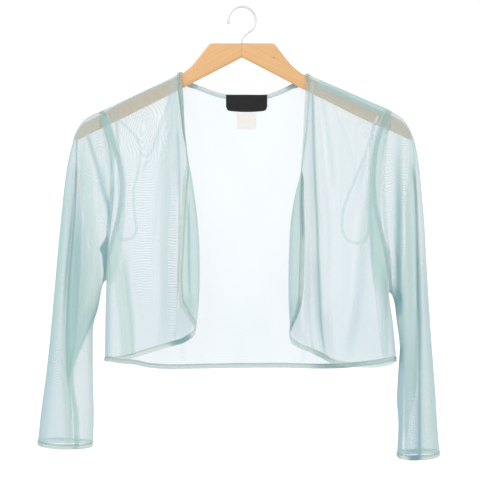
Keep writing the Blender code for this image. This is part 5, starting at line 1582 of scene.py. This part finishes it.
def makeLoop(side):
    look = loopLook
    table = look[side]
    line = spline(np.stack([table["out"], table["depth"], table["height"]], axis=1), 8)
    line = spaced(line, np.linspace(0, 1, look["steps"]))
    ahead = np.gradient(line, axis=0)
    ahead /= np.linalg.norm(ahead, axis=1)[:, None]
    across = np.stack([ahead[:, 2], np.zeros(len(ahead)), -ahead[:, 0]], axis=1)
    across /= np.linalg.norm(across, axis=1)[:, None]
    places = np.linspace(-0.5, 0.5, 5) * look["width"]
    grid = line[:, None] + across[:, None] * places[None, :, None]
    sign = -1.0 if side == "right" else 1.0
    grid = grid * (sign, 1, 1)
    normal = gridNormals(grid)
    stub = (smoothStep((grid[..., 2] + look["stubHeight"][side]) / look["stubFade"])
            * (grid[..., 1] < 0))
    return closedStrip(f"{side}_ribbon_loop", grid, normal, look["thick"], satin, {"stub": stub})


labelLook = {
    "ripple": 0.25, "rippleLength": 5.0, "softEdge": 0.3,
    "brand_label_ribbon": {"across": (-20.8, 32.9), "height": (-134.8, -112.4), "lift": 1.7,
                           "thick": 0.8, "corner": 5.0, "sag": 2.0},
    "care_label_ribbon": {"across": (-7.0, 18.2), "height": (-157.0, -136.6), "lift": 1.25,
                          "thick": 0.5, "corner": 1.5, "sag": 0.5},
}


def clearPick():
    if bpy.context.object and bpy.context.object.mode != "OBJECT":
        bpy.ops.object.mode_set(mode="OBJECT")
    bpy.ops.object.select_all(action="DESELECT")


def makeLabel(name, look, material):
    # a grid of cloth, laid on the back inside the neck, with rounded lower corners
    low, high = look["across"]
    foot, head = look["height"]
    clearPick()
    bpy.ops.mesh.primitive_grid_add(x_subdivisions=44, y_subdivisions=18, size=1.0)
    made = bpy.context.object
    made.name = name
    made.data.name = name
    spot = np.empty(len(made.data.vertices) * 3)
    made.data.vertices.foreach_get("co", spot)
    spot = spot.reshape(-1, 3)
    across = low + (spot[:, 0] + 0.5) * (high - low)
    fromEdge = np.minimum(across - low, high - across)
    corner = look["corner"]
    short = corner - np.sqrt(np.clip(corner ** 2 - np.maximum(corner - fromEdge, 0) ** 2, 0, None))
    bow = look["sag"] * (1 - ((across - (low + high) / 2) / ((high - low) / 2)) ** 2)
    feet = foot + look["sag"] + short - bow
    share = 0.5 - spot[:, 1]
    heights = head * (1 - share) + feet * share
    points = backSurface(across, heights)
    ripple = labelLook["ripple"] * np.sin(across / labelLook["rippleLength"]) * share
    points[:, 1] -= look["lift"] + ripple
    made.data.vertices.foreach_set("co", (points * mm).ravel())
    made.data.update()
    bpy.ops.object.mode_set(mode="EDIT")
    bpy.ops.mesh.select_all(action="SELECT")
    bpy.ops.mesh.normals_make_consistent(inside=False)
    bpy.ops.object.mode_set(mode="OBJECT")
    if made.data.polygons[0].normal.y > 0:
        made.data.flip_normals()
    made.data.materials.append(material)
    made.modifiers.new("thickness", "SOLIDIFY").thickness = look["thick"] * mm
    made.modifiers["thickness"].offset = 0.0
    bpy.ops.object.modifier_apply(modifier="thickness")
    rounded = made.modifiers.new("softEdge", "BEVEL")
    rounded.width = look["thick"] * labelLook["softEdge"] * mm
    rounded.segments = 2
    rounded.limit_method = "ANGLE"
    rounded.angle_limit = math.radians(50)
    bpy.ops.object.modifier_apply(modifier="softEdge")
    bpy.ops.object.shade_smooth()
    made.data.set_sharp_from_angle(angle=math.radians(50))
    return made


# hanger

hangerLook = {
    "halfThick": 6.0, "corner": 5.0, "crest": -45.8,
    "sides": 32, "thinFrom": 212.0, "thinning": 0.35, "jointHalf": 0.5, "jointDeep": 0.35,
    "cornerShare": 0.48,                  # most of the arm's height that a rounded corner takes
    "shownSoft": 1.6,                     # how softly its lower edge shows through the cloth
}
armTopOut = [0.0, 38.0, 41.5, 43.2, 46.5, 51.0, 56.6, 65.3, 72.0, 78.3, 91.0, 106.6,
             119.6, 144.3]
armTopHeight = [-45.8, -45.8, -46.3, -47.9, -51.8, -57.6, -64.8, -75.2, -81.0, -85.4, -92.2,
                -99.8, -105.0, -116.8]
hangerTop = {
    "right": {
        "out": armTopOut + [160.0, 170.0, 180.0, 190.5, 200.0, 207.0, 212.0, 215.3, 216.6],
        "height": armTopHeight + [-124.9, -130.6, -136.4, -142.0, -146.6, -151.4, -157.8,
                                  -164.0, -168.6],
    },
    "left": {
        "out": armTopOut + [160.0, 172.0, 180.0, 190.5, 200.0, 207.0, 213.0, 217.0, 219.5,
                            220.8],
        "height": armTopHeight + [-124.0, -129.4, -133.0, -137.8, -142.6, -147.0, -152.8,
                                  -159.2, -164.8, -168.8],
    },
}
hangerUnder = {
    "right": {"out": [0.0, 76.2, 143.8, 196.8, 212.0, 216.6],
              "height": [-64.6, -103.9, -137.8, -163.2, -170.6, -172.4]},
    "left": {"out": [0.0, 76.2, 143.8, 169.0, 192.4, 212.0, 220.8],
             "height": [-64.6, -103.9, -137.8, -149.6, -158.8, -168.6, -171.6]},
}


def makeArms():
    # a long cylinder cut at stations, each ring then set to the arm's section there
    look = hangerLook
    between = {0.4, 1.2, 6.0, 14.0, 22.0, 30.0, 76.2, 84.0, 98.0, 112.0, 126.0, 132.0, 152.0,
               168.0, 183.0}
    right, left = (sorted({*hangerTop[side]["out"], *between}) for side in ("right", "left"))
    stations = [-x for x in right[:0:-1]] + left
    clearPick()
    reach = left[-1] + right[-1]
    bpy.ops.mesh.primitive_cylinder_add(vertices=look["sides"], radius=4 * mm, depth=reach * mm,
                                        location=((left[-1] - right[-1]) / 2 * mm, 0, 0),
                                        rotation=(0, math.pi / 2, 0))
    made = bpy.context.object
    made.name = "hanger_arms_wood"
    made.data.name = made.name
    bpy.ops.object.transform_apply(location=True, rotation=True, scale=False)
    bpy.ops.object.mode_set(mode="EDIT")
    for x in stations[1:-1]:
        bpy.ops.mesh.select_all(action="SELECT")
        bpy.ops.mesh.bisect(plane_co=(x * mm, 0, 0), plane_no=(1, 0, 0))
    bpy.ops.object.mode_set(mode="OBJECT")
    for vertex in made.data.vertices:
        x = vertex.co.x / mm
        angle = math.degrees(math.atan2(vertex.co.z, vertex.co.y)) % 360
        step = int(round(angle * look["sides"] / 360)) % look["sides"]
        side = "right" if x < 0 else "left"
        top = float(through(hangerTop[side]["out"], hangerTop[side]["height"], abs(x)))
        under = float(np.interp(abs(x), hangerUnder[side]["out"], hangerUnder[side]["height"]))
        corner = min(look["corner"], look["cornerShare"] * (top - under))
        wide = look["halfThick"] - max(0.0, abs(x) - look["thinFrom"]) * look["thinning"]
        if abs(x) < look["jointHalf"]:
            wide -= look["jointDeep"]
        each = look["sides"] // 4
        quarter, part = divmod(step, each)
        turn = math.radians(quarter * 90 + part * 90 / (each - 1))
        signY = 1 if quarter in (0, 3) else -1
        middle = (top - corner) if quarter < 2 else (under + corner)
        vertex.co.y = (signY * (wide - corner) + corner * math.cos(turn)) * mm
        vertex.co.z = (middle + corner * math.sin(turn)) * mm
    made.data.materials.append(pine)
    bpy.ops.object.shade_smooth()
    made.data.set_sharp_from_angle(angle=math.radians(35))
    return made


hookLook = {"wire": 3.5, "inside": 16.0, "seat": 10.0, "shankTop": -41.0, "tipLeast": 0.25,
            "bend": [(0.7, -38.4), (3.4, -35.6)], "turn": range(-66, 206, 12)}


def makeHook():
    # a wire bent round a rail, its tip rounded
    look = hookLook
    radius = look["inside"] + look["wire"] / 2
    centre = -look["inside"]
    foot = hangerLook["crest"] - look["seat"]
    shank = [(0.0, z) for z in np.linspace(foot, look["shankTop"], 4)]
    turned = [(radius * math.cos(math.radians(a)), centre + radius * math.sin(math.radians(a)))
              for a in look["turn"]]
    line = spaced(spline(shank + look["bend"] + turned, 3), np.linspace(0, 1, 90))
    clearPick()
    bpy.ops.curve.primitive_nurbs_path_add()
    made = bpy.context.object
    made.name = "hanger_hook_wire"
    path = made.data
    path.splines.clear()
    strand = path.splines.new("POLY")
    strand.points.add(len(line) - 1)
    run = runOf(line)
    for point, (x, z), gone in zip(strand.points, line, run):
        point.co = (x * mm, 0.0, z * mm, 1.0)
        left = (run[-1] - gone) / (look["wire"] / 2)
        point.radius = math.sqrt(max(0.0, 1 - (1 - min(left, 1.0)) ** 2)) if left < 1 else 1.0
        point.radius = max(point.radius, look["tipLeast"])
    path.bevel_depth = look["wire"] / 2 * mm
    path.bevel_resolution = 6
    path.use_fill_caps = True
    made.select_set(True)
    bpy.ops.object.convert(target="MESH")
    made = bpy.context.object
    made.data.name = made.name
    made.data.materials.clear()
    made.data.materials.append(wire)
    bpy.ops.object.shade_smooth()
    made.data.set_sharp_from_angle(angle=math.radians(50))
    return made


# build the pieces and hand each one its place in the frame

def areaOf(cut):
    ring = np.concatenate([cut[0], cut[1:, -1], cut[-1, ::-1][1:], cut[::-1, 0][1:]])
    x, y = ring[:, 0], ring[:, 1]
    return abs(np.sum(x * np.roll(y, -1) - y * np.roll(x, -1))) / 2 * mm * mm


def sizeOf(cut):
    return [float(np.ptp(cut[..., k])) * mm for k in (0, 1)]


def hand(piece, node):
    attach(piece, "root")
    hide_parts(node)
    return piece


hand(makeArms(), "hanger_arms")
hand(makeHook(), "hanger_hook")
print("hanger made")

backPanel, backCut = makeBack()
hand(backPanel, "back")
neckBand, hemBand = makeBackBands()
hand(neckBand, "back_neck_binding")
hand(hemBand, "back_hem_binding")
brand = hand(makeLabel("brand_label_ribbon", labelLook["brand_label_ribbon"], blackRibbon),
             "brand_label")
care = hand(makeLabel("care_label_ribbon", labelLook["care_label_ribbon"], whiteRibbon),
            "care_label")
loops = [hand(makeLoop(side), f"{side}_hanger_loop") for side in sides]
sizeOf(backCut)
areaOf(backCut)
print("back made, cut", [round(v, 3) for v in sizeOf(backCut)], round(areaOf(backCut), 4))

for side in sides:
    panel, cut = makeFront(side)
    hand(panel, f"{side}_front")
    band = hand(makeFrontBinding(side), f"{side}_front_binding")
    sizeOf(cut)
    areaOf(cut)
    sleeve = hand(makeSleeve(side), f"{side}_sleeve")
    cuff = hand(makeCuff(side), f"{side}_cuff_band")
    tape = hand(makeTape(side), f"{side}_armhole_tape")
    print(side, "front made, cut", [round(v, 3) for v in sizeOf(cut)], round(areaOf(cut), 4))

# stage, light and camera

studio = {
    "white": 1.15, "keyWatts": 9.0, "keySize": 1.2, "keyPlace": (-1.1, -1.9, 0.9),
    "keyAim": (0.0, 0.0, -0.3),
    "floorHeight": -1.25, "floorSize": (8.0, 7.0, 1.0), "floorColour": (0.88, 0.88, 0.88, 1),
    "centre": (-2.6, -305.5), "shownHeight": 631.8, "distance": 3.0, "filmHeight": 24.0,
}

clearPick()
bpy.ops.mesh.primitive_grid_add(x_subdivisions=8, y_subdivisions=8, size=1.0,
                                location=(0, -0.5, studio["floorHeight"]))
floor = bpy.context.object
floor.name = "pale_floor"
floor.scale = studio["floorSize"]
paper, _, paperShader = nodesOf("palePaper")
paperShader.inputs["Base Color"].default_value = studio["floorColour"]
paperShader.inputs["Roughness"].default_value = 0.9
floor.data.materials.append(paper)

world = bpy.data.worlds.new("studioWhite")
world.use_nodes = True
world.node_tree.nodes["Background"].inputs[0].default_value = (1, 1, 1, 1)
world.node_tree.nodes["Background"].inputs[1].default_value = studio["white"]
bpy.context.scene.world = world

bpy.ops.object.light_add(type="AREA", location=studio["keyPlace"])
key = bpy.context.object
key.name = "softKey"
key.data.energy = studio["keyWatts"]
key.data.size = studio["keySize"]
aim = np.array(studio["keyAim"]) - np.array(studio["keyPlace"])
key.rotation_euler = (math.acos(-aim[2] / np.linalg.norm(aim)), 0,
                      math.atan2(aim[1], aim[0]) - math.pi / 2)

centreX, centreZ = studio["centre"]
bpy.ops.object.camera_add(location=(centreX * mm, -studio["distance"], centreZ * mm),
                          rotation=(math.pi / 2, 0, 0))
camera = bpy.context.object
camera.data.sensor_fit = "VERTICAL"
camera.data.sensor_height = studio["filmHeight"]
camera.data.lens = studio["filmHeight"] * studio["distance"] / (studio["shownHeight"] * mm)
camera.data.clip_end = 30.0
bpy.context.scene.camera = camera
bpy.context.scene.view_settings.view_transform = "Standard"
bpy.context.scene.cycles.transparent_max_bounces = 32
print("studio made")
